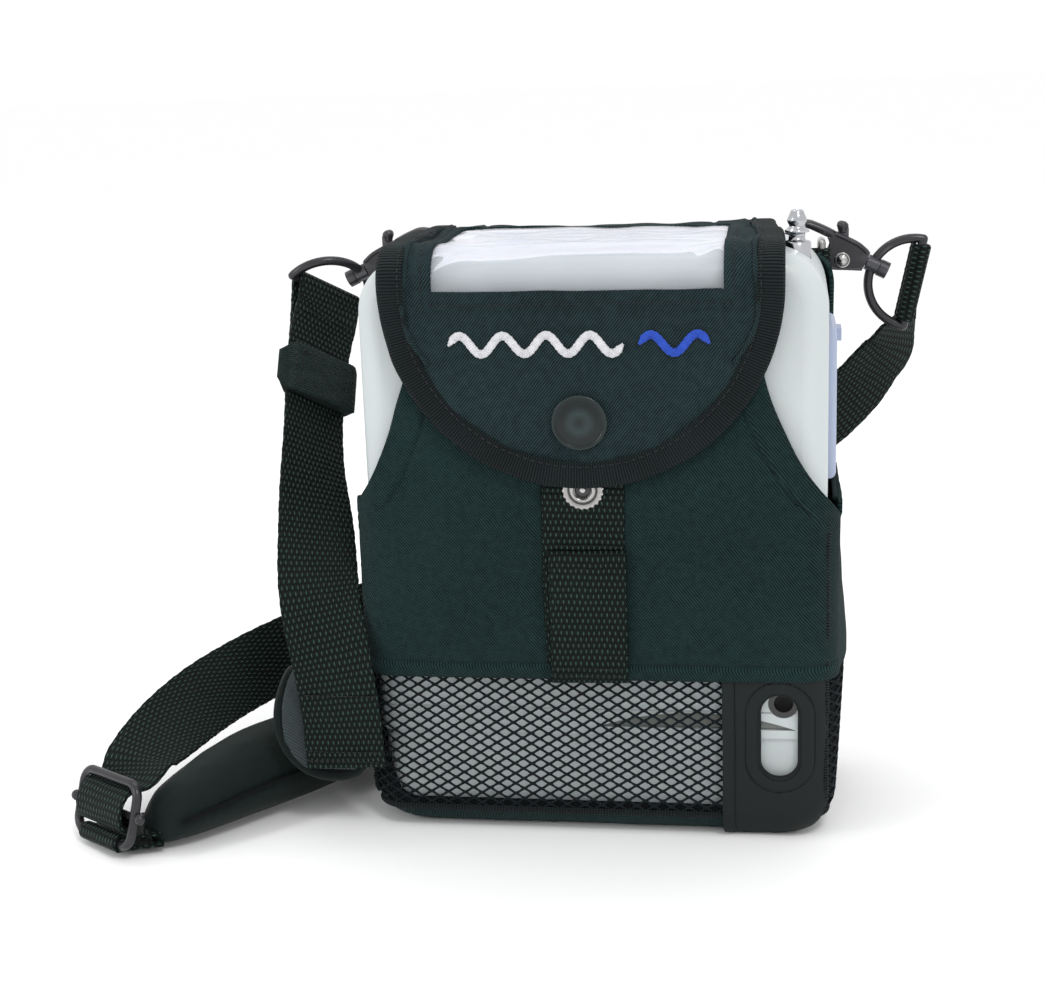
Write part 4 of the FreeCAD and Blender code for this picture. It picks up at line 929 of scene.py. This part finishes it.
def flap_sewing():
    """Hem stitching under and beside the window, and the gathered cloth at the front top corners."""
    def hem(name, x, q):
        stitches(name, flap_at(x, q, FLAP_T + 0.3), flap_n(x, q), pitch=2.4, length=1.6, radius=0.2,
                 body="flap")
    hem("window_stitches_low", np.linspace(WIN_X0 - 4, WIN_X1 + 4, 110), Q_WIN + 4.0)
    for k, x in enumerate((WIN_X0 - 3.2, WIN_X1 + 3.2)):
        hem("window_stitches_%d" % k, x, np.linspace(Q_REAR, Q_WIN + 3, 90))
    q = np.linspace(2, Q_FRONT + 24, 130)
    for s, tag in SIDES:
        x = FLAP_X + s * (52.5 + 2.4 * smoothstep(0, 60, q) + 0.7 * np.sin(q * 0.16))
        x = np.where(q > Q_FRONT + 6, x - s * 0.02 * (q - Q_FRONT - 6) ** 2, x)
        tube("flap_fold_" + tag, flap_at(x, q, FLAP_T - 0.1), 0.75 + 0.3 * np.sin(q * 0.31) ** 2,
             "flap_fabric", body="flap")


def flap_pane():
    """Clear window, held flat at its rim and wavy inside it."""
    x, q = np.meshgrid(np.linspace(WIN_X0 - 2, WIN_X1 + 2, 110), np.linspace(Q_REAR - 2, Q_WIN + 2, 110))
    fold = 0.42 * np.sin(q * 0.55 + 1.2 * np.sin(x * 0.045)) * bell(q, Q_FRONT - 9, 9)
    fold += 0.35 * waves(np.stack([x * 0.35, q], -1), 13.0, 91)
    corner = bell(np.minimum(x - WIN_X0, WIN_X1 - x), 0, 9) * bell(q, Q_FRONT - 4, 10)
    fold += 0.7 * corner * np.sin(q * 0.9 + x * 0.5)
    rim = smoothstep(0, 4, np.minimum.reduce([x - WIN_X0 + 2, WIN_X1 + 2 - x, q - Q_REAR + 2, Q_WIN + 2 - q]))
    grid("flap_pane", flap_at(x, q, 0.75 + (fold + 0.5) * rim, 0.6), np.stack([x, q], -1), "clear_vinyl",
         thick=0.35, body="flap", slot="clear_vinyl", nodes=("flap_window",))


CAP = ((0.0, 1.62), (3.0, 1.58), (5.6, 1.42), (6.9, 1.2), (7.35, 1.12), (7.8, 1.5), (8.3, 1.72), (8.75, 1.5),
       (8.85, 1.0), (8.6, 0.3), (7.8, -0.2), (0.0, -0.3))


def snap_cap():
    c = flap_at(STRIP_X, Q_FRONT + Z_FRONT - STUDS_Z[1], FLAP_T - 0.2)
    lathe("snap_button", CAP, c, vec(0, -1, 0), "cap_black", n=96, body="flap", slot="gunmetal",
          nodes=("snap_cap",))


def breath_wave():
    """Embroidered wave, in place of any lettering."""
    for name, mat, x0, x1, pace in (("wave_white", "thread_white", -43.0, 12.0, 1),
                                    ("wave_blue", "thread_blue", 17.0, 38.5, 0.96)):
        x = np.linspace(x0, x1, int((x1 - x0) / 0.42))
        q = Q_FRONT + Z_FRONT - (166.4 + 2.9 * np.sin((x - x0) * 2 * math.pi / 13.75 * pace))
        satin(name, flap_at(x, q, FLAP_T + 0.12), flap_n(x, q), 1.35, mat)


SATIN = ((-1.0, -0.05), (-0.92, 0.22), (-0.5, 0.42), (0.0, 0.48), (0.5, 0.42), (0.92, 0.22), (1.0, -0.05))


def satin(name, path, normal, half, mat):
    """Satin stitch: short threads laid side by side across a line."""
    t = tangents(path)
    side = unit(np.cross(normal, t))
    verts = []
    for k in range(len(path)):
        taper = min(1.0, 0.35 + 0.2 * min(k, len(path) - 1 - k)) * (1 + 0.05 * math.sin(k * 2.4))
        for dt, low in ((-0.19, -0.16), (0.0, 0.05), (0.19, -0.16)):
            for a, b in SATIN:
                across = side[k] * a * half * taper
                verts.append(path[k] + t[k] * (dt + 0.10 * a) + across + normal[k] * (b + low))
    m = len(SATIN)
    uv = np.array([(i // m * 0.3, i % m) for i in range(len(verts))])
    ob = solid_mesh(name, verts, quads(len(verts) // m, m) + [tuple(range(m))], mat, uv=uv, body="flap",
                    slot="bag_fabric")
    solidify(ob, 0.2)


# ------------------------------------------------------------------ straps and hardware
KEEP_W = vec(0.607, 0.655, -0.438)             # across the webbing at the keeper
RING_C = vec(105.14, 46.5, 172.94), vec(-105.14, 46.5, 172.94)               # strap rings' bars: right, left
RING_BAR = unit(vec(0.208, 0.0, 0.978)), unit(vec(0.61, 0.64, -0.46))
STRAP_A, STRAP_B = vec(-104, 36, 161.6), vec(-102, 5, 120.6)                 # the keeper slides between them
SL_C, SL_W = vec(-163.0, -58.5, 14.0), unit(vec(0.80, -0.59, 0.06))          # the slider, along its bars,
SL_H = unit(vec(0.10, 0.30, 0.95) - SL_W * np.dot(SL_W, vec(0.10, 0.30, 0.95)))       # up it
SL_N = np.cross(SL_W, SL_H)                                                  # and out of it
LEFT_T = unit(STRAP_B - STRAP_A)
LEFT_W = unit(KEEP_W - LEFT_T * np.dot(KEEP_W, LEFT_T))
LEFT_N = -np.cross(LEFT_T, LEFT_W) if np.cross(LEFT_T, LEFT_W)[1] > 0 else np.cross(LEFT_T, LEFT_W)


LEFT_RUN = (          # place, and direction across the webbing
    (-97.5, -13, 100, 0.86, 0.42, -0.28), (-92, -33.5, 79, 0.98, 0.05, -0.1), (-86.8, -42.6, 61, 1, 0, 0),
    (-84.5, -43.9, 44, 1, 0, 0), (-83.6, -43.9, 24.5, 1, 0, 0.07))


def strap_left():
    """From the left ring, down past the keeper, to the pad's folded end."""
    c, t, w, n = RING_C[1], LEFT_T, LEFT_W, LEFT_N
    points = [c + t * d + n * (-2.5 + min(d / 20, 1)) for d in (44, 34, 24, 14, 6)]
    points += [c + 2.5 * (n * math.cos(v) - t * math.sin(v)) for v in np.linspace(math.pi, 0, 9)]
    whole = np.dot(STRAP_A - c, t)
    points += [c + t * d + n * (2.5 - 1.2 * d / whole) for d in (4, 9)]
    rows = [(*p, *w) for p in points + [STRAP_A, STRAP_B]]
    rows += [(*p[:3], *unit(p[3:])) for p in LEFT_RUN]
    path = smooth(rows, 0.5, 0.5)
    ribbon("strap_left_run", path[:, :3], path[:, 3:], WEB_W, WEB_T, 20, nodes=("strap_left",))
    # where it is sewn to the pad, and the ladder that closes the loop under the ring
    for k, z in enumerate((26.8, 30.2, 50.0)):
        front_stitches("pad_stitches_%d" % k, -96.5, -71.5, 40, -44.75, z, 1.9, length=1.45, radius=0.25)
    q = np.array([c + t * 13 + n * 2.9 + w * x for x in np.linspace(-11.5, 11.5, 30)])
    stitches("ring_stitches_left", q, same(n, q), pitch=2.0, length=1.5, radius=0.22, slot="webbing")


RIGHT_RUN = (         # place, and direction across the webbing
    (104.8, 56.5, 169.5, 0.25, 0.40, 0.88), (102.6, 61.0, 162.5, 0.32, 0.85, 0.42),
    (101.7, 61.7, 157.1, 0.42, 0.89, -0.12), (100.2, 61.6, 152.1, 0.495, 0.813, -0.306),
    (98.0, 61.5, 147.1, 0.56, 0.73, -0.40), (93.3, 61.0, 141.3, 0.541, 0.676, -0.501),
    (87.9, 60.5, 134.3, 0.516, 0.597, -0.615), (80.0, 59.5, 126.3, 0.49, 0.54, -0.68),
    (50.0, 55.0, 106.0, 0.42, 0.40, -0.80), (10.0, 49.0, 86.0, 0.36, 0.15, -0.92),
    (-40.0, 48.0, 67.0, 0.3, 0.05, -0.95), (-90.0, 46.0, 50.0, 0.28, -0.1, -0.95),
    (-122.0, 36.0, 38.8, 0.22, -0.22, -0.93), (-138.5, 14.0, 34.5, 0.50, -0.34, -0.78),
    (-146.7, -8.0, 32.4, 0.68, -0.34, -0.62), (-152.5, -27.0, 29.0, 0.79, -0.38, -0.42),
    (-156.4, -41.0, 25.2, 0.82, -0.52, -0.20))
ROUND_SLIDER = ((8.6, -4.4), (8.1, -1.6), (6.2, 1.9), (2.6, 3.35), (-1.6, 3.3), (-4.6, 1.9), (-5.6, -1.0),
                (-4.6, -3.4), (-1.5, -3.9))


def by_slider(rows):
    """Places given as up the slider, out of it and along its bars."""
    return [SL_C + SL_H * h + SL_N * n + SL_W * w for h, n, w in rows]


def strap_right():
    """From the right ring, down behind the bag, to the slider."""
    c, bar = RING_C[0], RING_BAR[0]
    out = unit(vec(1, 0, 0) - bar * bar[0])
    back = vec(0, 1, 0)
    points = [c - out * (2.5 - 0.05 * d) + back * d for d in (17, 12, 7, 3)]
    points += [c + 2.5 * (-out * math.cos(v) - back * math.sin(v)) for v in np.linspace(0, math.pi, 9)]
    rows = [(*p, *bar) for p in points + [c + out * 2.2 + back * 5]]
    rows += [(*p[:3], *unit(p[3:])) for p in RIGHT_RUN]
    rows += [(*p, *SL_W) for p in by_slider([(h, n, 0) for h, n in ROUND_SLIDER])]
    path = smooth(rows, 0.5, 0.6)
    ribbon("strap_right_run", path[:, :3], path[:, 3:], WEB_W, WEB_T, 18, nodes=("strap_right",))
    q = np.array([c - out * 3.3 + back * (2.2 + (1.4 if i % 2 else -1.4)) + bar * v
                  for i, v in enumerate(np.linspace(-12.5, 12.5, 21))])
    pad_loop()
    stitches("ring_zigzag", q, same(-out, q), pitch=1.4, length=1.6, radius=0.25, slot="webbing")


def pad_loop():
    """The pad's own webbing, round the slider's lower rail. It lies on the floor, never below it."""
    centre = SL_C - SL_H * 10.0
    loop = by_slider([(-3.6, -17.0, 9.0), (-5.8, -10.0, 4.0), (-7.2, -5.0, 1.5)])
    turn = np.linspace(-0.6, math.pi + 0.25, 9)
    loop += [centre + 2.45 * (SL_H * math.cos(v) + SL_N * math.sin(v)) for v in turn]
    loop += by_slider([(-11.2, -5.0, 1.5), (-10.3, -11.0, 5.0), (-8.0, -17.5, 9.5)])
    path = smooth([(*p, *SL_W) for p in loop], 0.5, 0.6)
    width = 22.0
    path[:, 2] = np.maximum(path[:, 2], width / 2 * abs(SL_W[2]) + 1.65)
    ribbon("pad_loop", path[:, :3], path[:, 3:], width, 1.3)


KEEPER_SECTION = (
    (-18.3, 0.0), (-18.0, 0.9), (-16.5, 1.5), (-14.6, 1.9), (-13.2, 3.0), (-10, 3.35), (0, 3.5), (10, 3.4),
    (13.0, 3.0), (14.8, 1.9), (16.3, 0.2), (15.2, -1.6), (13.0, -2.8), (5, -3.1), (-5, -3.1), (-12.8, -2.8),
    (-14.8, -1.6), (-16.8, -1.0), (-18.0, -0.7), (-18.3, 0.0))
KEEPER_SEAMS = ([(-10.5, -6.6), (9.5, -6.6), (9.5, 6.6), (-10.5, 6.6), (-10.5, -6.6)],
                [(-10, -6.2), (9, 6.2)], [(-10, 6.2), (9, -6.2)],
                [(-13.2, -7.6), (-13.2, 7.6)], [(12.4, -7.6), (12.4, 7.6)])


def keeper():
    """Hook-and-loop wrap round the left webbing, with a rounded tab at one side and a stitched box."""
    c = STRAP_A + (STRAP_B - STRAP_A) * 0.42
    t, w, n = LEFT_T, LEFT_W, LEFT_N
    sec = spline([(x, y, 0.0) for x, y in KEEPER_SECTION], 0.8)[:-1, :2]
    ys = np.concatenate([[-9.2, -9.0], np.linspace(-8.6, 8.6, 24), [9.0, 9.2]])
    verts = []
    for y in ys:
        edge = 1 - 0.10 * smoothstep(8.2, 9.2, abs(y))
        for x, h in sec:
            # the tab's corners are rounded, and the far side is folded to a facet
            shrink = 1 - 0.42 * smoothstep(12.5, 18.3, -x) ** 1.5 - 0.18 * smoothstep(13.5, 16.3, x)
            puff = 1 + 0.03 * math.sin(y * 0.9 + x * 0.3)
            verts.append(c + t * y * shrink + w * x * (0.996 + 0.004 * edge) + n * h * edge * puff)
    uv = np.stack(np.broadcast_arrays(ys[:, None], lengths(sec)[None]), -1)
    look = dict(body="keeper", slot="keeper_fabric")
    solid_mesh("keeper_wrap", verts, capped(len(ys), len(sec)), "keeper_fabric", uv=uv,
               nodes=("strap_keeper",), **look)
    for k, line in enumerate(KEEPER_SEAMS):
        q = resample(np.array([c + w * x + t * y + n * 3.42 for x, y in line]), 0.6)
        stitches("keeper_stitches_%d" % k, q, same(n, q), pitch=2.0, length=1.45, radius=0.22, **look)


def points_of(ob):
    return np.array([v.co for v in ob.data.vertices]) / MM


def set_points(ob, co):
    """Moves a soft piece's points, and keeps them above the floor."""
    co[:, 2] = np.maximum(co[:, 2], FLOOR_GAP)
    ob.data.vertices.foreach_set("co", (co * MM).ravel())


def puff_out(ob, grow, frames=20):
    """Short cloth run with pressure inside; no point moves more than grow."""
    rest = points_of(ob)
    c = ob.modifiers.new("cloth", "CLOTH")
    c.settings.use_pressure = True
    c.settings.uniform_pressure_force = 4.0
    c.settings.effector_weights.gravity = 0.0
    c.settings.tension_stiffness = c.settings.compression_stiffness = 30.0
    c.settings.quality = 6
    c.point_cache.frame_start, c.point_cache.frame_end = 1, frames
    for f in range(1, frames + 1):
        bpy.context.scene.frame_set(f)
    apply_mods(ob)
    bpy.context.scene.frame_set(1)
    move = points_of(ob) - rest
    far = np.linalg.norm(move, axis=1, keepdims=True)
    set_points(ob, rest + move * np.minimum(1, grow / np.maximum(far, 1e-6)))


def cushion(name, mat, rings, grow, voxel, nodes=()):
    """Soft padded form: remeshed, puffed out by a short cloth run, then smoothed."""
    ob = solid_mesh(name, rings, capped(*rings.shape[:2]), mat, slot="pad_neoprene", nodes=nodes)
    r = ob.modifiers.new("even", "REMESH")
    r.mode, r.voxel_size = "VOXEL", voxel * MM
    apply_mods(ob)
    puff_out(ob, grow)
    s = ob.modifiers.new("smooth", "SUBSURF")
    s.levels = s.render_levels = 1
    apply_mods(ob)
    co = points_of(ob)
    set_points(ob, co)
    x, y, z = co.T
    set_uv(ob.data, np.stack([x * 0.8 + y * 0.6, z + y * 0.6 - x * 0.3], 1))
    ob.data.polygons.foreach_set("use_smooth", [True] * len(ob.data.polygons))
    return ob


def crease(ob, path, depth, width):
    """Pulls a cushion's surface in along a sewn line."""
    co = points_of(ob)
    nn = np.array([v.normal for v in ob.data.vertices])
    d = np.full(len(co), 1e9)
    for p in path:
        d = np.minimum(d, np.sum((co - p) ** 2, 1))
    set_points(ob, co - nn * (depth * np.exp(-d / width ** 2))[:, None])


PAD_LINE = (          # x, y, half width and half height along the pad
    (-147.0, -61.0, 6.6, 8.4), (-145.2, -58.0, 9.6, 10.4), (-141.6, -53.4, 12.4, 12.2),
    (-136.8, -47.8, 13.6, 13.7), (-131.0, -40.0, 14.8, 15.4), (-124.0, -31.0, 15.6, 16.8),
    (-115.0, -19.5, 15.8, 17.4), (-107.5, -9.5, 15.4, 17.2), (-102.0, -1.0, 14.6, 16.4),
    (-97.0, 8.0, 13.6, 15.4), (-93.8, 18.0, 12.4, 13.9), (-92.5, 24.0, 10.4, 11.4),
    (-92.3, 27.0, 7.0, 7.6))
PAD_FOLD = (          # place and half width along the pad's folded end
    (-93.5, -13.0, 15.0, 10.0), (-93.5, -12.2, 26.0, 12.5), (-93.3, -12.8, 38.0, 13.5),
    (-92.8, -17.5, 48.0, 14.5), (-92.0, -25.0, 51.8, 15.0), (-91.4, -33.0, 49.5, 16.0),
    (-91.0, -38.3, 43.5, 17.3), (-90.8, -39.3, 35.0, 17.4), (-90.6, -39.3, 27.0, 14.6),
    (-90.2, -39.3, 21.8, 10.5))


def pad_roll():
    """The pad, rolled lengthwise, with its edges sewn together along the side."""
    line = smooth([(x, y, 0, a, h) for x, y, a, h in PAD_LINE], 1.5, 2.0)
    t = tangents(line[:, :3])
    side = np.stack([-t[:, 1], t[:, 0], 0 * t[:, 0]], 1)

    def at(k, v, out):
        x, y, _, a, h = line[k]
        flat = 0.86                 # flatter underneath, where it lies on the floor
        up = math.sin(v)
        z = h * (flat * up if up < 0 else up) + flat * h + out * up + 0.3
        return vec(x, y, z) + side[k] * (a + out) * math.cos(v) * (1 - 0.06 * up)
    count = len(line)
    turn = np.linspace(0, 2 * math.pi, 36, endpoint=False)
    rings = np.array([[at(k, v, -1.2) for v in turn] for k in range(count)])
    rings[..., 2] = np.maximum(rings[..., 2], 0.5)
    roll = cushion("pad_roll", "pad_neoprene", rings, 1.8, 3.6, ("shoulder_pad",))
    seam_v = math.pi - 0.05
    crease(roll, [at(k, seam_v, 0.0) for k in range(2, count - 2, 2)], 2.0, 2.1)
    seam = np.array([at(k, seam_v, -1.0) + side[k] * 0.4 for k in range(3, count - 3)])
    tube("pad_seam", seam, 0.7, "lining", slot="pad_neoprene")
    return roll


def pad_end():
    """The pad's near end, folded up and over to the front, with a bound edge."""
    fold = smooth(PAD_FOLD, 1.2, 1.6)
    c, half = fold[:, :3], fold[:, 3]
    across = vec(1, 0, 0)
    up = np.cross(tangents(c), across)

    def blunt(v, power):
        return math.copysign(abs(v) ** power, v)
    rings = []
    for k in range(len(c)):
        thick = 2.9 - 1.3 * smoothstep(len(c) - 16, len(c) - 2, k)
        rings.append([c[k] + across * (half[k] - 0.9) * blunt(ca, 0.75) + up[k] * thick * blunt(sa, 0.8)
                      for ca, sa in circle(36)])
    end = cushion("pad_end", "jersey", np.array(rings), 1.0, 2.2)
    left, right = [c + across * (s * (half - 0.7))[:, None] for s in (-1, 1)]
    right = right[::-1]
    loop = np.vstack([left[4:], left[-1:] + vec(4, 0, -1.6), right[:1] + vec(-4, 0, -1.6), right[:-4]])[::2]
    tube("pad_end_binding", smooth(loop, 1.0, 0.9), 1.5, "pad_neoprene", sides=12, slot="pad_neoprene")
    return end


NOZZLE = (          # radius and height
    (4.55, 186.5), (4.55, 193.3), (4.1, 193.7), (2.75, 194.0), (2.55, 195.4), (2.6, 196.2), (3.7, 196.5),
    (3.95, 196.9), (3.7, 197.4), (2.7, 197.8), (2.45, 198.7), (2.9, 199.4), (3.15, 200.2), (3.0, 201.0),
    (2.55, 201.9), (2.2, 202.8), (1.95, 203.4), (1.5, 203.55), (1.25, 203.3), (1.2, 202.5), (1.2, 187.0),
    (4.0, 186.5))


def nozzle():
    lathe("barbed_nozzle", NOZZLE, vec(65.0, -8.0, 0), vec(0, 0, 1), "nozzle_metal", slot="nozzle_metal",
          nodes=("cannula_nozzle",))


def marks():
    """Plain raised signs on the keys: power, minus, plus, and a dot for the alarm."""
    def mark(name, key, x, dx, dy, radius, closed=False):
        path = np.stack(np.broadcast_arrays(x + dx, 10.0 + dy, TOP + 0.62), 1)
        tube("mark_" + name, path, radius, "thread_white", closed=closed, body=key + "_key",
             slot="keypad_blue")
    ring, bar = np.linspace(math.radians(125), math.radians(415), 40), np.linspace(-2.2, 2.2, 12)
    mark("power_ring", "power", -30.0, 2.1 * np.cos(ring), 2.1 * np.sin(ring), 0.28)
    mark("power_bar", "power", -30.0, 0, np.linspace(0.6, 2.9, 8), 0.28)
    mark("minus", "minus", -10.0, bar, 0, 0.3)
    mark("plus", "plus", 10.0, bar, 0, 0.3)
    mark("plus_up", "plus", 10.0, 0, bar, 0.3)
    mark("alarm", "alarm", 30.0, *(1.6 * circle(40).T), 0.28, True)


RIVET = (          # radius and height of a rivet head
    (2.7, 0.0), (2.75, 0.35), (2.45, 0.6), (2.0, 0.42), (1.75, 0.55), (1.3, 1.0), (0.7, 1.2), (0.0, 1.26))
HOOK_RIM = ((0.7, 2.9), (4.0, 3.9), (9.0, 4.25), (13.6, 4.3))
HOOK_EDGE = ((0.8, -3.0), (5.2, -5.0), (10.0, -6.9), (12.2, -7.2), (13.3, -5.9), (13.4, -2.0), (13.7, 0.6),
             (15.4, 2.5))
THUMB = ((11.6, 5.5), (12.3, 7.0), (12.9, 8.4), (13.1, 9.3))


def hook_details(s, tag):
    """Rounded bow, rims, rivet heads and thumb knob on a snap hook, in the hook's own frame."""
    along, up = vec(-0.902 * s, 0, 0.431), vec(0.431 * s, 0, 0.902)
    out = np.cross(along, up)
    foot = vec(88.9 * s, 46.5, 180.7)
    look = dict(body="hook_" + tag, slot="gunmetal")

    def at(path, z=0.0):
        return foot + path[:, :1] * along + path[:, 1:2] * up + z * out
    turn = np.radians(np.linspace(88, -27, 40))
    bow = [(12.5, 3.4), (15.0, 3.65), (18.5, 3.75)]
    bow += [(22 + 6.1 * math.cos(v), 6.1 * math.sin(v) - 2.5) for v in turn]
    p = at(smooth(bow, 0.6, 0.5))
    f = lengths(p) / lengths(p)[-1]
    fat = (1.62 - 0.35 * smoothstep(0.93, 1.0, f)) * (0.8 + 0.2 * smoothstep(0.0, 0.1, f))
    sweep("hook_bow_" + tag, p, np.cross(tangents(p), same(out, p)), same(out, p), circle(22) * (1, 1.68),
          "gunmetal", scale=np.stack([fat, fat], 1), **look)
    for z, face in ((1, "a"), (-1, "b")):
        end = "_%s_%s" % (tag, face)
        tube("hook_rim" + end, at(smooth(HOOK_RIM, 0.5, 0.5), z * 2.05), 0.8, "gunmetal", sides=14, **look)
        tube("hook_edge" + end, at(smooth(HOOK_EDGE, 0.5, 0.5), z * 2.35), 0.5, "gunmetal", sides=12, **look)
        lathe("hook_rivet" + end, RIVET, at(np.array([(7.7, -2.8)]), z * 2.6)[0], out * z,
              "nickel" if z * s < 0 else "gunmetal", n=36, **look)
    q = at(smooth(THUMB, 0.4, 0.4))
    r = np.interp(np.linspace(0, 1, len(q)), [0, 0.25, 0.6, 0.85, 1.0], [1.35, 1.6, 2.1, 1.9, 0.9])
    tube("thumb_knob_" + tag, q, r, "gunmetal", sides=18, body="gate_" + tag, slot="gunmetal")


def ring_band():
    """Webbing band over the bag's back that holds a D-ring in a sewn loop at each end."""
    y, z = HALF_D + SKIN + 0.75, 179.6
    turn = np.linspace(0, math.pi, 9)
    halves = []
    for s, _ in SIDES:
        half = [vec(s * a, b, z) for a, b in ((57.0, 38.7), (62.0, 39.6), (67.0, 41.2), (70.5, 41.75))]
        half += [vec(s * (73.56 + 2.35 * math.sin(v)), 39.4 + 2.35 * math.cos(v), z) for v in turn]
        halves.append(half + [vec(s * x, y, z) for x in (66, 55, 40, 20)])
    path = smooth(halves[0] + [vec(0, y, z)] + halves[1][::-1], 0.6, 0.6)
    ribbon("back_band", path, same(vec(0, 0, 1), path), 13.0, 1.3, nodes=("ring_band",))

    def row(name, x, y):
        q = np.stack(np.broadcast_arrays(x, y, np.linspace(174.5, 184.7, 16)), 1)
        stitches(name, q, same(vec(0, 1, 0), q), pitch=2.0, length=1.5, radius=0.24, slot="webbing")
    for s, tag in SIDES:
        for x in (59.0, 63.5):
            row("band_stitches_%s_%d" % (tag, int(x)), s * x, 39.85 + 0.12 * (x - 57))
    for x in (-30.0, 0.0, 30.0):
        row("band_tack_%d" % int(x + 50), x, y + 0.68)


# ------------------------------------------------------------------ build
for build in (front_panel, side_panels, back_panel, front_net, side_nets, bottom, port_patch, front_strip,
              flap_cloth, flap_binding, flap_sewing, flap_pane, snap_cap, breath_wave,
              strap_left, strap_right, keeper):
    build()
soft = [(pad_roll(), 0.8), (pad_end(), 0.5)]
nozzle()
marks()
for side, tag in SIDES[::-1]:
    hook_details(side, tag)
ring_band()

for ob, body, slot, nodes in PIECES:
    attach(ob, body)
    if nodes:
        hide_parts(*nodes)

# CAD nodes that stay in view keep their shape, with the material of their slot
hidden = {nd for _, _, _, nodes in PIECES for nd in nodes}
for row in frame["record"]["subparts"]:
    if row["node"] not in hidden:
        data = frame["nodes"][row["node"]].data
        data.materials.clear()
        data.materials.append(M[row["material_slot"]])


# ------------------------------------------------------------------ floor, light, camera
scene = bpy.context.scene


def add_floor():
    me = bpy.data.meshes.new("floor")
    me.from_pydata([(-30, -30, 0), (30, -30, 0), (30, 30, 0), (-30, 30, 0)], [], [(0, 1, 2, 3)])
    floor = bpy.data.objects.new("floor", me)
    scene.collection.objects.link(floor)
    pale = Mat("floor", (0.97, 0.97, 0.97), 0.9, Specular_IOR_Level=0.1)
    pale.tint(pale.noise(3.0), 0.99, 1.0)
    me.materials.append(pale.m)
    floor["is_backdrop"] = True


def area_light(name, place, target, size, power, color=(1, 1, 1)):
    light = bpy.data.lights.new(name, "AREA")
    light.shape, light.size, light.size_y = "RECTANGLE", *size
    light.energy, light.color = power, color
    ob = bpy.data.objects.new(name, light)
    ob.location = place
    ob.rotation_euler = (Vector(target) - Vector(place)).to_track_quat("-Z", "Y").to_euler()
    scene.collection.objects.link(ob)


def add_lights():
    world = bpy.data.worlds.new("studio")
    scene.world = world
    world.use_nodes = True
    sky = world.node_tree.nodes["Background"]
    sky.inputs[0].default_value = (1.0, 1.0, 1.0, 1)
    sky.inputs[1].default_value = 1.03
    area_light("key", (0.35, -0.65, 1.0), (0, 0, 0.1), (0.24, 0.24), 3.4)
    area_light("fill", (-0.9, -0.6, 0.5), (-0.03, 0, 0.1), (0.2, 0.5), 1.7, (0.97, 0.99, 1))
    area_light("top", (-0.1, 0.25, 1.1), (0, 0, 0.1), (0.9, 0.12), 1.8)


AZ, EL, ROLL, DIST = math.radians(9), math.radians(14), math.radians(-1.98), 0.600
FOCAL, SENSOR, IMAGE_W = 1747.0, 36.0, 1045.0          # focal length in pixels of the photograph's width
TARGET = Vector((-0.0277, 0.0, 0.1061))


def add_camera():
    """Camera at the photograph's angle, DIST from TARGET, rolled a little."""
    back = Vector((math.sin(AZ) * math.cos(EL), -math.cos(AZ) * math.cos(EL), math.sin(EL)))
    level = (-back).cross(Vector((0, 0, 1))).normalized()
    upright = level.cross(-back)
    right = level * math.cos(ROLL) + upright * math.sin(ROLL)
    up = upright * math.cos(ROLL) - level * math.sin(ROLL)
    cam = bpy.data.cameras.new("camera")
    cam.sensor_fit, cam.sensor_width = "HORIZONTAL", SENSOR
    cam.lens = FOCAL * SENSOR / IMAGE_W
    cam.clip_start, cam.clip_end = 0.02, 20
    camera = bpy.data.objects.new("camera", cam)
    camera.matrix_world = Matrix([(*axes, 0) for axes in zip(right, up, back)] + [(0, 0, 0, 1)])
    camera.matrix_world.translation = TARGET + back * DIST
    scene.collection.objects.link(camera)
    scene.camera = camera


add_floor()
add_lights()
add_camera()
scene.view_settings.view_transform = "Standard"


def plain(v):
    return [plain(x) for x in v] if hasattr(v, "__len__") else float(v)


{"cad": plain(CAD_BOUNDS), "visual": plain(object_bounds())}
